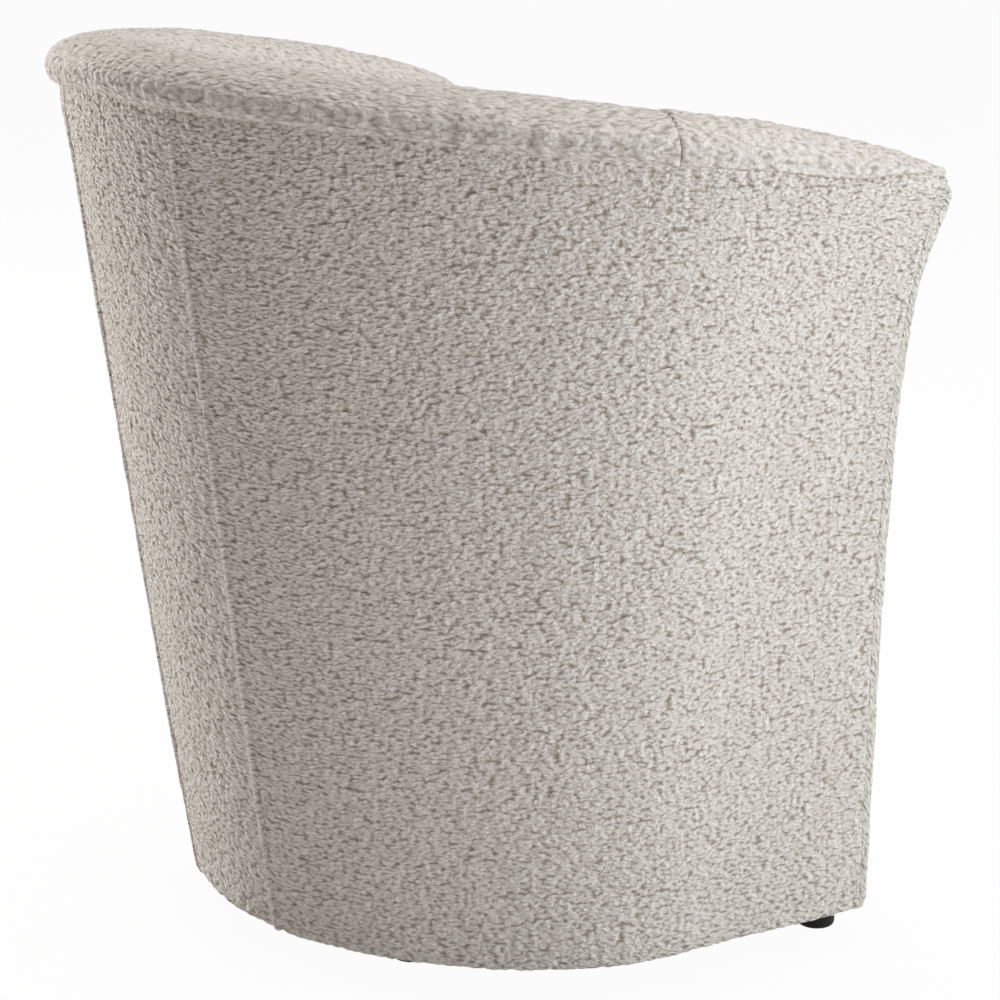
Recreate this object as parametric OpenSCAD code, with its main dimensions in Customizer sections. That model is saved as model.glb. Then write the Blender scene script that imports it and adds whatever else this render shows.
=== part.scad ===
// Tub chair: a flared horseshoe shell of boards, ribs and foam under a
// pile fabric, a sprung seat and a loose seat cushion on four plastic feet.
// Millimetres, +Z up. The sitter faces -Y, so the sitter's left is +X.
// The origin is on the floor, under the middle of the chair's outer box.

/* [Shell outline] */
// Height of the rim seam at the middle of the back
back_rim_z = 668; // [630:1:710]
// Height of the rim seam at the arm fronts
arm_rim_z = 613; // [575:1:640]
// Half of the width at the rim seam
rim_half_w = 360; // [335:1:390]
// Half of the width at the bottom
base_half_w = 270; // [255:1:290]
// Reach of the rim seam behind the widest line
rim_back = 334; // [310:1:355]
// Reach of the bottom behind the widest line
base_back = 251; // [235:1:270]
// Reach of the arm fronts ahead of the widest line, at the rim
rim_arm_front = 153; // [140:1:165]
// Reach of the arm fronts ahead of the widest line, at the bottom
base_arm_front = 170; // [155:1:185]
// Extra half width of the bottom at the arm fronts
base_front_spread = 9; // [0:1:15]
// Gap between the floor and the covers
floor_gap = 29; // [22:1:40]

/* [Wall build] */
// Wall thickness at the bottom
wall_base_t = 58; // [54:1:64]
// Wall thickness at the rim seam
wall_rim_t = 74; // [70:1:82]
// Height of the rolled rim over its seam
roll_h = 32; // [24:1:40]
// Height of the rolled rim over its seam at the arm fronts
roll_end_h = 8; // [8:1:12]
// Radius round the edges of the arm fronts
front_edge_r = 15; // [13:1:18]
// Thickness of the pile fabric
cover_t = 4; // [3:0.5:5]
// Thickness of the fibreboard on the ribs
board_t = 3; // [2:0.5:4]
// Thickness of the foam on the inside walls
wall_foam_t = 15.8; // [12:0.2:18]
// Thickness of the rib and arm front plywood
rib_t = 18; // [15:1:21]
// Height of the plywood top rail
top_rail_h = 21; // [18:1:25]
// Drop from the rim seam to the underside of the top rail
top_rail_drop = 40; // [38:1:48]

/* [Base and seat frame] */
// Thickness of the base and seat plywood
plate_t = 18; // [15:1:21]
// Underside of the base plate above the covers' lower edge
base_lift = 4; // [3:0.5:6]
// Top of the seat plate above the floor
seat_plate_z = 258; // [240:1:270]
// Half width of the openings in both plates
opening_half_w = 165; // [150:1:175]
// Reach of the plate openings behind the widest line
opening_back = 105; // [90:1:115]
// Reach of the plate openings ahead of the widest line
opening_front = 118; // [105:1:125]
// Radius of the plate openings' corners
opening_corner_r = 20; // [10:1:30]
// Height of the blocks under the seat plate
ledger_h = 35; // [25:1:45]
// Depth of the blocks under the seat plate
ledger_d = 28; // [20:1:35]
// Thickness of the moulded plywood front apron
apron_t = 12; // [9:1:15]
// Foam on the front apron
apron_foam_t = 8; // [6:1:10]

/* [Seat springs] */
// Number of springs
spring_count = 4; // [3:1:5]
// Distance between the outer springs
spring_span = 228; // [210:1:240]
// Diameter of the spring wire
wire_d = 3.8; // [3:0.2:4.2]
// Half of the width over the spring's loops
spring_half_w = 25; // [20:1:28]
// Length of one full wave
spring_wave = 44; // [38:1:50]
// Rise of the spring's middle
spring_rise = 14; // [8:1:18]
// Thickness of the clip steel
clip_t = 1.5; // [1:0.1:2]
// Width of a clip
clip_w = 22; // [16:1:26]
// Length of a clip's plate
clip_l = 24; // [20:1:30]

/* [Seat] */
// Top of the covered seat deck
deck_z = 288; // [282:1:292]
// Thickness of the deck fabric
deck_cover_t = 1.6; // [1:0.2:2.4]
// Reach of the cushion's front ahead of the widest line
seat_front = 215; // [205:1:225]
// Gap between the front border and the arm fronts
border_gap = 1; // [0.8:0.1:2]
// Bow of the seat's front edge
seat_bow = 14; // [8:1:20]
// Radius of the seat's front corners
seat_corner_r = 36; // [32:1:42]
// Setback of the front border behind the cushion
border_setback = 4; // [2:1:8]
// Clearance round the cushion inside the walls
cushion_gap = 4; // [2:1:8]
// Height of the cushion at its upper seam
cushion_h = 132; // [115:1:150]
// Crown of the cushion above its upper seam
crown_h = 20; // [12:1:28]
// Height of the lower seam above the cushion's underside
lower_seam_h = 12; // [9:1:16]
// How far the boxing is drawn in between its seams
draw_in = 4; // [2:0.5:6]
// Thickness of the cushion fabric
cushion_cover_t = 3; // [2:0.5:4]

/* [Feet] */
// Diameter of a foot
foot_d = 30; // [26:1:36]
// Diameter of a foot's sole
sole_d = 26; // [22:1:28]
// Diameter of the neck over a foot
neck_d = 16; // [14:1:17]
// Front feet inside the bottom's widest line
front_foot_inset = 36; // [32:1:38]
// Front feet behind the arm fronts' lower edge
front_foot_setback = 20; // [17:1:25]
// Rear feet inside the bottom's widest line
rear_foot_inset = 158; // [140:1:170]
// Rear feet ahead of the bottom's back edge
rear_foot_setback = 101; // [91:1:116]
// Diameter of the foot screws
screw_d = 4; // [3.5:0.5:5]
// Length of the foot screws under the head
screw_l = 30; // [27:1:33]
// Diameter of the screw heads
screw_head_d = 8; // [7:0.5:9]
// Height of the screw heads
screw_head_h = 3; // [2.5:0.5:3.5]
// Depth of the recess under a foot
foot_recess_h = 14; // [10:1:16]
// Diameter of the recess under a foot
foot_recess_d = 10; // [9.5:0.5:12]

/* [Hidden] */
// Gap between one soft layer and the next
layer_gap = 0.4;
// Gap between boards or fabric and the wood that carries them
seat_gap = 0.3;
// Extra room for the flats between the shell's stations
facet_room = 0.9;
// Overrun of cuts
overrun = 1;
// Thickness of the dust cover cloth
dust_cover_t = 1.2;
// Height of the rounding round a foot's sole
foot_edge_h = 3;
// Room for a screw in a foot, and for the spring wire in its clip
screw_room = 0.2;
wire_room = 0.15;
// Room for a foot in the dust cover
foot_room = 1;
// Room under the seat padding over the springs and beside the clips
arch_room = 2;
arch_side_room = 8;
// Rounding of the cushion's seams and of its lower edge
seam_round = 7;
edge_round = 14;
// How far the rim padding stops short of the arm fronts
rim_end_gap = 1.5;
// Thickness of the arm front padding at its edge
padding_edge_t = 0.3;
// How far the covers' hems hang over the feet's shoulders
shoulder_gap = 0.5;
// Share of the run from back to arm front that is bent
bend_share = 0.51;
// Share of the height over which the wall rises straight
straight_share = 0.11;
// How much the bend is cut off at its corners
corner_cut_share = 0.03;
// Powers of the flare at the back and at the arms
back_flare_power = 0.9;
arm_flare_power = 5;
// Where the fall of the rim starts and ends on its easing curve
fall_start_share = 0.117;
fall_end_share = 1.274;
// Stretch of u over which the roll sinks to its height at the arm fronts
fade_share = 1.2;
// Power of the roll's fall along that share
roll_fade_power = 1.8;
// Places along the shell: 0 is the middle of the back, 1 the widest line
// and 2 the joint with the arm front
end_share = 2;
rear_seam_share = 0.15;
cross_seam_share = 0.84;
board_joint_share = 0.6;
rib_shares = [0, 0.48, 0.92, 1.6];
// Stretch of u that directions are taken over, and one too small to matter
probe_share = 0.01;
same_share = 0.001;
// Half of the gap at a seam, as a stretch of u
seam_share = 0.0006;
// Stations of one half of the shell; every seam and joint lies on one
half_shares = [
    0, 0.075, 0.15, 0.26, 0.37, 0.48, 0.6, 0.72, 0.84, 0.92, 1, 1.3, 1.6, 1.8, 1.92, 2
];
// Stations round the seat that the deck and the cushion follow
deck_shares = [1.92, 1.8, 1.6, 1.3, 1, 0.92, 0.84, 0.72, 0.6, 0.48, 0.37, 0.26, 0.15, 0];
cushion_shares = [1.8, 1.3, 1, 0.84, 0.72, 0.6, 0.48, 0.26, 0];
// Steps from the base to the seat, from the seat to the top rail, over the
// roll and round an edge
low_steps = 2;
high_steps = 5;
roll_steps = 8;
edge_steps = 3;
// Steps in a wave of the spring wire, and sides round the wire
steps_per_wave = 10;
wire_sides = 6;
// Share of a wire's step that its direction is taken over
wire_probe_share = 0.25;
// Heights of the crown, and the shares of the cushion's outline they have
crown_shares = [0.4, 0.72, 0.92, 0.99];
loop_shares = [1, 0.82, 0.52, 0.2];
// Shares of the half front that the bow is measured at
bow_shares = [0.7, 0.35];
// Shares of the boxing's height
boxing_shares = [0, 0.25, 0.75, 1];
// How the cushion's layers lean inwards and down, round its crown and edge
crown_lean_share = 0.6;
crown_lean_fall_share = 0.2;
crown_drop_share = 0.8;
edge_lean_shares = [0.6, 0.8];
// Share of the cushion's underside that its inner ring has, and height of
// the ring on its lower edge as a share of the lower seam's
underside_share = 0.5;
edge_rise_share = 0.25;
// Shares of the seat padding's arch over the spring field
arch_shares = [0.2, 0.5, 0.75, 0.97];
// Shares of the arm front's width at which its face is measured
face_shares = [1, 0.94, 0.84, 0.5, 0.16, 0.06, 0];
// Angles up the roll at which the arm front's face is measured
face_angles = [20, 42, 62, 78];

base_joint = base_arm_front - front_edge_r;
rim_joint = rim_arm_front - front_edge_r;
centre_y = (rim_back - seat_front) / 2;
plate_z = floor_gap + base_lift;
plate_top = plate_z + plate_t;
seat_plate_low = seat_plate_z - plate_t;
pad_drop = top_rail_drop - top_rail_h;
// Depths from the outside: the board's inner face and the frame's outer edge
board_in = cover_t + layer_gap + board_t;
frame_in = board_in + facet_room;
// Depths from the inside: the foam's and the inner board's outer faces
foam_out = cover_t + layer_gap + wall_foam_t;
inner_board_out = foam_out + layer_gap + board_t;
frame_out = inner_board_out + 2 * seat_gap;
cushion_z = deck_z + seat_gap;
border_front = seat_front - border_setback;
apron_inset = cover_t + layer_gap + apron_foam_t + layer_gap;

// The shell. Place u runs along the horseshoe from -2, the right arm front,
// over 0, the middle of the back, to 2, the left arm front. Share t runs up
// the outside from 0, the lower edge, to 1, the rim seam.

function ease(x) = let(c = min(max(x, 0), 1)) c * c * (3 - 2 * c);
function steps(from, to, n) = [for (i = [0:n]) from + (to - from) * i / n];
function total(v, i = 0) = i == len(v) - 1 ? v[i] : v[i] + total(v, i + 1);
function middle(ring) = total(ring) / len(ring);
function unit(v) = v / norm(v);
function raised(loop, z) = [for (p = loop) [p.x, p.y, z]];

// Share of the way from the middle of the back to an arm front
function way(u) =
    abs(u) <= 1 ? bend_share * abs(u) : bend_share + (1 - bend_share) * (abs(u) - 1);

// One level of the horseshoe, seen from above
function level(u, half_w, back, front, spread) =
    let(
        a = 90 * min(abs(u), 1),
        k = max(abs(u) - 1, 0),
        r = 1 - corner_cut_share * pow(sin(2 * a), 2)
    )
    [
        sign(u) * (half_w * r * sin(a) + spread * ease(k)),
        back * r * cos(a) - front * k - centre_y
    ];

function fall(s) =
    let(e = ease(fall_start_share))
    (ease(fall_start_share + (fall_end_share - fall_start_share) * s) - e) / (1 - e);

function rim_z(u) = back_rim_z - (back_rim_z - arm_rim_z) * fall(way(u));

// Share of the flare reached at a height
function flare(u, t) =
    let(
        back = straight_share * t + (1 - straight_share) * pow(t, back_flare_power),
        arm = straight_share * t + (1 - straight_share) * pow(t, arm_flare_power)
    )
    back + (arm - back) * ease(way(u));

function outer_xy(u, t) =
    let(
        low = level(u, base_half_w, base_back, base_joint, base_front_spread),
        high = level(u, rim_half_w, rim_back, rim_joint, 0)
    )
    low + (high - low) * flare(u, t);

function height(u, t) = floor_gap + (rim_z(u) - floor_gap) * t;
function share_at(u, z) = (z - floor_gap) / (rim_z(u) - floor_gap);
function wall(t) = wall_base_t + (wall_rim_t - wall_base_t) * t;

// Level direction into the wall
function inward(u, t) =
    let(
        e = probe_share,
        d = outer_xy(min(u + e, end_share), t) - outer_xy(max(u - e, -end_share), t)
    )
    [d.y, -d.x] / norm(d);

// Points at a depth from the outside, and from the inside, of the wall
function out_point(u, t, d) =
    let(p = outer_xy(u, t) + d * inward(u, t)) [p.x, p.y, height(u, t)];
function in_point(u, t, d) = out_point(u, t, wall(t) - d);

// Height of the roll over the rim seam
function roll(u) =
    let(k = min(max((abs(u) - (end_share - fade_share)) / fade_share, 0), 1))
    roll_end_h + (roll_h - roll_end_h) * (1 - pow(k, roll_fade_power));

// A point on the roll, from 0 at the outer seam to 180 at the inside wall
function roll_point(u, a, inset) =
    let(
        r = wall_rim_t / 2,
        p = outer_xy(u, 1) + (r - (r - inset) * cos(a)) * inward(u, 1)
    )
    [p.x, p.y, rim_z(u) + (roll(u) - inset) * sin(a)];

// Shared stations and rows, so that nested layers keep their gaps
full_grid = concat(
    [for (i = [len(half_shares) - 1:-1:1]) -half_shares[i]],
    half_shares
);
function between(grid, from, to) =
    let(e = same_share)
    concat([from], [for (v = grid) if (v > from + e && v < to - e) v], [to]);
function stations(from, to) = between(full_grid, from, to);
function rows(u, from, to) =
    let(seat = share_at(u, inside_low_z), rail = share_at(u, rim_z(u) - top_rail_drop))
    between(
        concat(
            steps(share_at(u, plate_z), seat, low_steps),
            [for (i = [1:high_steps]) seat + (rail - seat) * i / high_steps],
            [share_at(u, rim_z(u) - pad_drop)]
        ),
        from,
        to
    );

// Half of a rib's thickness, as a stretch of u
function half_run(u, t) =
    let(e = probe_share) rib_t / 2 / norm(outer_xy(u + e, t) - outer_xy(u - e, t)) * 2 * e;

// Whether the diagonal from a is the shorter one, which nested layers share
function shorter(a, b, c, d) = norm(c - a) < norm(d - b);

// A solid between two grids of points: near is the side that is looked at,
// its rows follow each other to the right and each row runs upwards
module slab(near, far) {
    rows = len(near) - 1;
    cols = len(near[0]) - 1;
    n = (rows + 1) * (cols + 1);
    function id(i, j) = i * (cols + 1) + j;
    sides = [
        for (i = [0:rows - 1]) for (j = [0:cols - 1])
            let(
                a = id(i, j),
                b = id(i, j + 1),
                c = id(i + 1, j + 1),
                d = id(i + 1, j),
                short = shorter(near[i][j], near[i][j + 1], near[i + 1][j + 1], near[i + 1][j])
            )
            each short
                ? [[a, b, c], [a, c, d], [n + a, n + c, n + b], [n + a, n + d, n + c]]
                : [[a, b, d], [b, c, d], [n + a, n + d, n + b], [n + b, n + d, n + c]]
    ];
    ends = [
        for (j = [0:cols - 1])
            let(a = id(0, j), b = id(0, j + 1), c = id(rows, j), d = id(rows, j + 1))
            each [[b, a, n + a], [b, n + a, n + b], [c, d, n + d], [c, n + d, n + c]]
    ];
    edges = [
        for (i = [0:rows - 1])
            let(a = id(i, 0), b = id(i + 1, 0), c = id(i, cols), d = id(i + 1, cols))
            each [[a, b, n + b], [a, n + b, n + a], [d, c, n + c], [d, n + c, n + d]]
    ];
    polyhedron(
        concat([for (r = near) each r], [for (r = far) each r]),
        concat(sides, ends, edges)
    );
}

// A closed skin over rings of points that turn left, seen from where the
// rings go. Two tips close the ends; without them the last ring joins the
// first.
module skin(rings, tips = []) {
    m = len(rings[0]);
    n = len(rings);
    closed = len(tips) == 0;
    all = [for (r = rings) each r];
    walls = [
        for (i = [0:n - (closed ? 1 : 2)]) for (j = [0:m - 1])
            let(
                a = i * m + j,
                b = i * m + (j + 1) % m,
                c = (i + 1) % n * m + (j + 1) % m,
                d = (i + 1) % n * m + j
            )
            each shorter(all[a], all[b], all[c], all[d])
                ? [[a, c, b], [a, d, c]]
                : [[a, d, b], [b, d, c]]
    ];
    caps = closed ? [] : [
        for (j = [0:m - 1])
            let(k = (j + 1) % m)
            each [[n * m, j, k], [n * m + 1, (n - 1) * m + k, (n - 1) * m + j]]
    ];
    polyhedron(concat(all, tips), concat(walls, caps));
}

// Right-hand pieces mirror the left-hand ones
module sided(side) {
    if (side > 0) children();
    else mirror([1, 0, 0]) children();
}

// A layer of the wall from low_z up to a drop under the rim seam
function layer_grid(from, to, low_z, drop, d, inside) = [
    for (u = stations(from, to))
        [
            for (t = rows(u, share_at(u, low_z), share_at(u, rim_z(u) - drop)))
                inside ? in_point(u, t, d) : out_point(u, t, d)
        ]
];

module outer_layer(from, to, low_z, drop, shallow, deep) {
    slab(layer_grid(from, to, low_z, drop, deep, false),
        layer_grid(from, to, low_z, drop, shallow, false));
}

module inner_layer(from, to, low_z, drop, shallow, deep) {
    slab(layer_grid(from, to, low_z, drop, shallow, true),
        layer_grid(from, to, low_z, drop, deep, true));
}

// The seat's front outline from the right to the left, seen from above
function front_outline(half_w, front, r, back_y) =
    let(
        y = front - seat_bow + centre_y,
        side = concat(
            [[-half_w, back_y]],
            [for (a = steps(0, 90, edge_steps)) [r - half_w - r * cos(a), r - y - r * sin(a)]],
            [for (s = bow_shares) [(r - half_w) * s, -y - seat_bow * (1 - s * s)]]
        )
    )
    concat(
        side,
        [[0, -y - seat_bow]],
        [for (i = [len(side) - 1:-1:0]) [-side[i].x, side[i].y]]
    );

// The front border stands between the arm fronts
deck_share = share_at(end_share, deck_z);
border_half_w = in_point(end_share, deck_share, -border_gap).x;
joint_y = outer_xy(end_share, 0).y;
function border_outline(inset, back_y = joint_y - seat_gap) =
    front_outline(border_half_w - inset, border_front - inset, seat_corner_r - inset, back_y);

// Outline of a plate at a height, behind the border
function plate_outline(z, d, inside) =
    concat(
        [
            for (i = [len(full_grid) - 1:-1:0])
                let(
                    u = full_grid[i],
                    t = share_at(u, z),
                    p = inside ? in_point(u, t, d) : out_point(u, t, d)
                )
                [p.x, p.y]
        ],
        border_outline(apron_inset, joint_y + overrun)
    );

module plate(z, outline, t = plate_t) {
    translate([0, 0, z]) linear_extrude(t) polygon(outline);
}

module plate_opening(z) {
    translate([0, 0, z - overrun])
        linear_extrude(plate_t + 2 * overrun)
            hull()
                for (x = [-1, 1], y = [-opening_front, opening_back])
                    translate([
                        x * (opening_half_w - opening_corner_r),
                        y - sign(y) * opening_corner_r - centre_y
                    ])
                        circle(r = opening_corner_r, $fn = 32);
}

front_foot_x = base_half_w - front_foot_inset;
front_foot_y = front_foot_setback - base_arm_front - centre_y;
rear_foot_x = base_half_w - rear_foot_inset;
rear_foot_y = base_back - rear_foot_setback - centre_y;
foot_places = [
    [front_foot_x, front_foot_y], [-front_foot_x, front_foot_y],
    [rear_foot_x, rear_foot_y], [-rear_foot_x, rear_foot_y]
];

// The base plate reaches under the arm fronts, where the front feet stand
module base_toes() {
    t = share_at(end_share, plate_z);
    inset = cover_t + layer_gap + facet_room;
    p = out_point(end_share, t, inset);
    q = in_point(end_share, t, inset);
    b = out_point(end_share, t, frame_in);
    for (side = [1, -1])
        sided(side)
            plate(plate_z, concat(
                [
                    [b.x, p.y - seat_gap], [b.x, p.y + overrun + seat_gap],
                    [q.x, p.y + overrun + seat_gap]
                ],
                [
                    for (c = face_shares)
                        let(f = bulge(min(c, 1 - c) * (p.x - q.x), front_edge_r - inset))
                        [p.x + c * (q.x - p.x), p.y - f - seat_gap]
                ]
            ));
}

module base_frame() {
    color("burlywood")
        difference() {
            union() {
                plate(plate_z, plate_outline(plate_z, frame_in, false));
                base_toes();
            }
            plate_opening(plate_z);
            for (p = foot_places)
                translate([p.x, p.y, plate_z - overrun])
                    cylinder(d = screw_d, h = plate_t + 2 * overrun, $fn = 32);
        }
}

module seat_frame() {
    color("burlywood")
        difference() {
            plate(seat_plate_low, plate_outline(seat_plate_low, frame_out - seat_gap, true));
            plate_opening(seat_plate_low);
        }
}

function upright(outline, low, high) = [for (p = outline) [[p.x, p.y, low], [p.x, p.y, high]]];

module front_apron() {
    color("burlywood")
        slab(upright(border_outline(apron_inset), plate_top, seat_plate_low),
            upright(border_outline(apron_inset + apron_t), plate_top, seat_plate_low));
}

// One edge of a rib, half its thickness to a side of its place
function rib_edge(u, side, d, inside) = [
    for (t = rows(u, share_at(u, plate_top), share_at(u, rim_z(u) - top_rail_drop - facet_room)))
        let(v = u + side * half_run(u, t), s = share_at(v, height(u, t)))
        inside ? in_point(v, s, d) : out_point(v, s, d)
];

// A rib stands on the base plate and carries the top rail
module rib(u) {
    color("tan")
        slab([rib_edge(u, -1, frame_out, true), rib_edge(u, 1, frame_out, true)],
            [rib_edge(u, -1, frame_in, false), rib_edge(u, 1, frame_in, false)]);
}

module rib_back() {
    rib(rib_shares[0]);
}

module rib_back_side(side) {
    sided(side) rib(rib_shares[1]);
}

module rib_side(side) {
    sided(side) rib(rib_shares[2]);
}

module rib_arm(side) {
    sided(side) rib(rib_shares[3]);
}

// A plywood profile behind the arm front, up to the rim's padding
module arm_front_board(side) {
    function edge(back, d, inside) = [
        for (t = rows(end_share, share_at(end_share, plate_top), share_at(end_share, arm_rim_z - pad_drop)))
            let(p = inside ? in_point(end_share, t, d) : out_point(end_share, t, d))
            [p.x, p.y + back, p.z]
    ];
    color("tan")
        sided(side)
            slab([edge(rib_t, frame_out, true), edge(0, frame_out, true)],
                [edge(rib_t, frame_in, false), edge(0, frame_in, false)]);
}

// The rail stops behind the arm front boards
rail_end = end_share - (rib_t + seat_gap) / rim_joint;

module top_rail() {
    function edge(u, d, inside) = [
        for (drop = [top_rail_drop, pad_drop])
            let(t = share_at(u, rim_z(u) - drop))
            inside ? in_point(u, t, d) : out_point(u, t, d)
    ];
    us = stations(-rail_end, rail_end);
    color("burlywood")
        slab([for (u = us) edge(u, frame_out, true)], [for (u = us) edge(u, frame_in, false)]);
}

// Blocks on the ribs carry the seat plate
module ledger_blocks() {
    function edge(u, side, reach) = [
        for (z = [seat_plate_low - ledger_h, seat_plate_low])
            let(v = u + side * half_run(u, share_at(u, z)))
            in_point(v, share_at(v, z), frame_out - seat_gap - reach)
    ];
    color("peru")
        for (side = [1, -1], i = [0:len(rib_shares) - 1])
            if (side > 0 || i > 0)
                sided(side)
                    let(u = rib_shares[i])
                    slab([edge(u, -1, ledger_d), edge(u, 1, ledger_d)],
                        [edge(u, -1, 0), edge(u, 1, 0)]);
}

// Seat springs: flat waves of wire, bowed up between two clips
wire_r = wire_d / 2;
wire_z = seat_plate_z + clip_t + wire_room + wire_r;
clip_back_y = opening_back + clip_l / 2 - centre_y;
clip_front_y = -opening_front - clip_l / 2 - centre_y;
spring_pitch = spring_span / (spring_count - 1);
spring_xs = [for (i = [0:spring_count - 1]) (i - (spring_count - 1) / 2) * spring_pitch];
clip_run = clip_back_y - clip_front_y;
wave_count = round(clip_run / spring_wave + 0.5);
wave = clip_run / (wave_count - 0.5);
wire_steps = wave_count * steps_per_wave;
// How far the loops bulge along the spring, as a share of a wave
loop_bulge_share = 0.1;

function wire_point(k) =
    let(
        a = 360 * wave_count * k,
        y = clip_front_y - wave / 4 + wave * wave_count * k + wave * loop_bulge_share * sin(2 * a),
        v = (2 * y - clip_back_y - clip_front_y) / clip_run
    )
    [(spring_half_w - wire_r) * cos(a), y, wire_z + spring_rise * max(1 - v * v, 0)];

function wire_ring(k) =
    let(
        e = wire_probe_share / wire_steps,
        d = unit(wire_point(min(k + e, 1)) - wire_point(max(k - e, 0))),
        side = unit(cross([0, 0, 1], d)),
        up = cross(d, side)
    )
    [
        for (j = [0:wire_sides - 1])
            let(a = 360 * j / wire_sides)
            wire_point(k) + wire_r * (cos(a) * side + sin(a) * up)
    ];

module seat_springs() {
    rings = [for (k = steps(0, 1, wire_steps)) wire_ring(k)];
    color("dimgray")
        for (x = spring_xs)
            translate([x, 0, 0]) skin(rings, [wire_point(0), wire_point(1)]);
}

// A clip is folded over the end bar of a spring
module spring_clip() {
    mouth = clip_t + wire_d + 2 * wire_room;
    rotate([90, 0, 90])
        translate([0, 0, -clip_w / 2])
            linear_extrude(clip_w)
                polygon([
                    [-clip_l / 2, 0], [clip_l / 2, 0], [clip_l / 2, mouth + clip_t],
                    [-clip_l / 4, mouth + clip_t], [-clip_l / 4, mouth], [clip_l / 2 - clip_t, mouth],
                    [clip_l / 2 - clip_t, clip_t], [-clip_l / 2, clip_t]
                ]);
}

module spring_clips() {
    color("silver")
        for (x = spring_xs) {
            translate([x, clip_back_y, seat_plate_z]) spring_clip();
            translate([x, clip_front_y, seat_plate_z]) mirror([0, 1, 0]) spring_clip();
        }
}

// Loops round the seat, turning left from above, a gap inside the walls
function wall_loop(places, z, gap) = [
    for (u = concat(places, [for (i = [len(places) - 2:-1:0]) -places[i]]))
        let(p = in_point(u, share_at(u, z), -gap))
        [p.x, p.y]
];
function deck_loop(z) =
    concat(
        wall_loop(deck_shares, z, layer_gap),
        border_outline(cover_t + layer_gap, joint_y + overrun)
    );
function cushion_loop(z, inset) =
    let(part = wall_loop(cushion_shares, z, cushion_gap + inset))
    concat(
        part,
        front_outline(part[0].x, seat_front - inset, seat_corner_r - inset, joint_y)
    );

// The spring field, which the seat padding arches over
field_back = clip_back_y + clip_l / 2 + arch_side_room;
field_front = clip_front_y - clip_l / 2 - arch_side_room;
function on_field(p, s) =
    let(
        c = [0, (field_back + field_front) / 2],
        d = p - c,
        k = s * min(opening_half_w / max(abs(d.x), overrun), (field_back - c.y) / max(abs(d.y), overrun))
    )
    c + d * k;
function arch_z(p) =
    let(v = (2 * p.y - clip_back_y - clip_front_y) / clip_run)
    wire_z + wire_r + clip_t + arch_room + spring_rise * max(1 - v * v, 0);

module seat_padding() {
    low = seat_plate_z + layer_gap;
    high = deck_z - deck_cover_t - layer_gap;
    loop = deck_loop(low);
    under = [
        for (s = arch_shares)
            [for (p = loop) let(q = on_field(p, s)) [q.x, q.y, arch_z(q)]]
    ];
    field = raised([for (p = loop) on_field(p, 1)], low);
    tip = middle(under[0]);
    color("lightyellow")
        skin(concat(under, [field, raised(loop, low), raised(deck_loop(high), high)]), [
            [tip.x, tip.y, arch_z(tip)], [tip.x, tip.y, high]
        ]);
}

module deck_cover() {
    color("gainsboro")
        plate(deck_z - deck_cover_t, deck_loop(deck_z - deck_cover_t), deck_cover_t);
}

module outer_board_back() {
    end = board_joint_share - seam_share;
    color("peru")
        outer_layer(-end, end, plate_z, pad_drop, cover_t + layer_gap, board_in);
}

module outer_board_side(side) {
    color("peru")
        sided(side)
            outer_layer(board_joint_share + seam_share, end_share, plate_z, pad_drop,
                cover_t + layer_gap, board_in);
}

inside_low_z = seat_plate_z + seat_gap;

module inner_board(from, to) {
    color("peru")
        inner_layer(from, to, inside_low_z, pad_drop, foam_out + layer_gap, inner_board_out);
}

module wall_padding(from, to) {
    color("lightyellow")
        inner_layer(from, to, inside_low_z, pad_drop, cover_t + layer_gap, foam_out);
}

module inner_board_back() {
    inner_board(-board_joint_share + seam_share, board_joint_share - seam_share);
}

module inner_board_side(side) {
    sided(side) inner_board(board_joint_share + seam_share, end_share);
}

module inside_back_padding() {
    wall_padding(-cross_seam_share + seam_share, cross_seam_share - seam_share);
}

module inside_arm_padding(side) {
    sided(side) wall_padding(cross_seam_share + seam_share, end_share);
}

// Foam over the top rail under the rolled rim
module rim_padding() {
    inset = cover_t + layer_gap;
    rings = [
        for (u = full_grid)
            let(
                t = share_at(u, rim_z(u) - pad_drop + 2 * layer_gap),
                back = [0, abs(u) == end_share ? rim_end_gap : 0, 0]
            )
            concat(
                [in_point(u, t, inset) + back, out_point(u, t, inset) + back],
                [for (a = steps(0, 180, roll_steps)) roll_point(u, a, inset) + back]
            )
    ];
    color("lightyellow") skin(rings, [middle(rings[0]), middle(rings[len(rings) - 1])]);
}

module front_padding() {
    color("lightyellow")
        slab(upright(border_outline(cover_t + layer_gap), plate_top, seat_plate_z),
            upright(border_outline(cover_t + layer_gap + apron_foam_t), plate_top, seat_plate_z));
}

// How far the arm front stands forward at a distance from its outline
function bulge(e, r) = let(k = 1 - min(max(e, 0) / r, 1)) r * sqrt(1 - k * k);

// Columns of the arm front's face from its lower edge over the rim, a
// given inset under the fabric's surface
function face_grid(low_z, inset, flat = false, edge_t = 0) = [
    for (c = face_shares)
        concat(
            [
                for (t = rows(end_share, share_at(end_share, low_z), 1))
                    let(
                        p = out_point(end_share, t, inset),
                        q = in_point(end_share, t, inset),
                        e = min(c, 1 - c) * (wall(t) - 2 * inset),
                        f = flat ? 0 : edge_t + bulge(e, front_edge_r - inset - edge_t)
                    )
                    p + c * (q - p) - [0, f + seat_gap, 0]
            ],
            [
                for (a = face_angles)
                    let(
                        p = roll_point(end_share, a, inset),
                        q = roll_point(end_share, 180 - a, inset),
                        h = norm([cos(a) * (1 - 2 * c), sin(a)]),
                        e = (1 - h) * (wall_rim_t / 2 - inset),
                        f = flat ? 0 : edge_t + bulge(e, front_edge_r - inset - edge_t)
                    )
                    p + c * (q - p) - [0, f + seat_gap, 0]
            ]
        )
];

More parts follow.
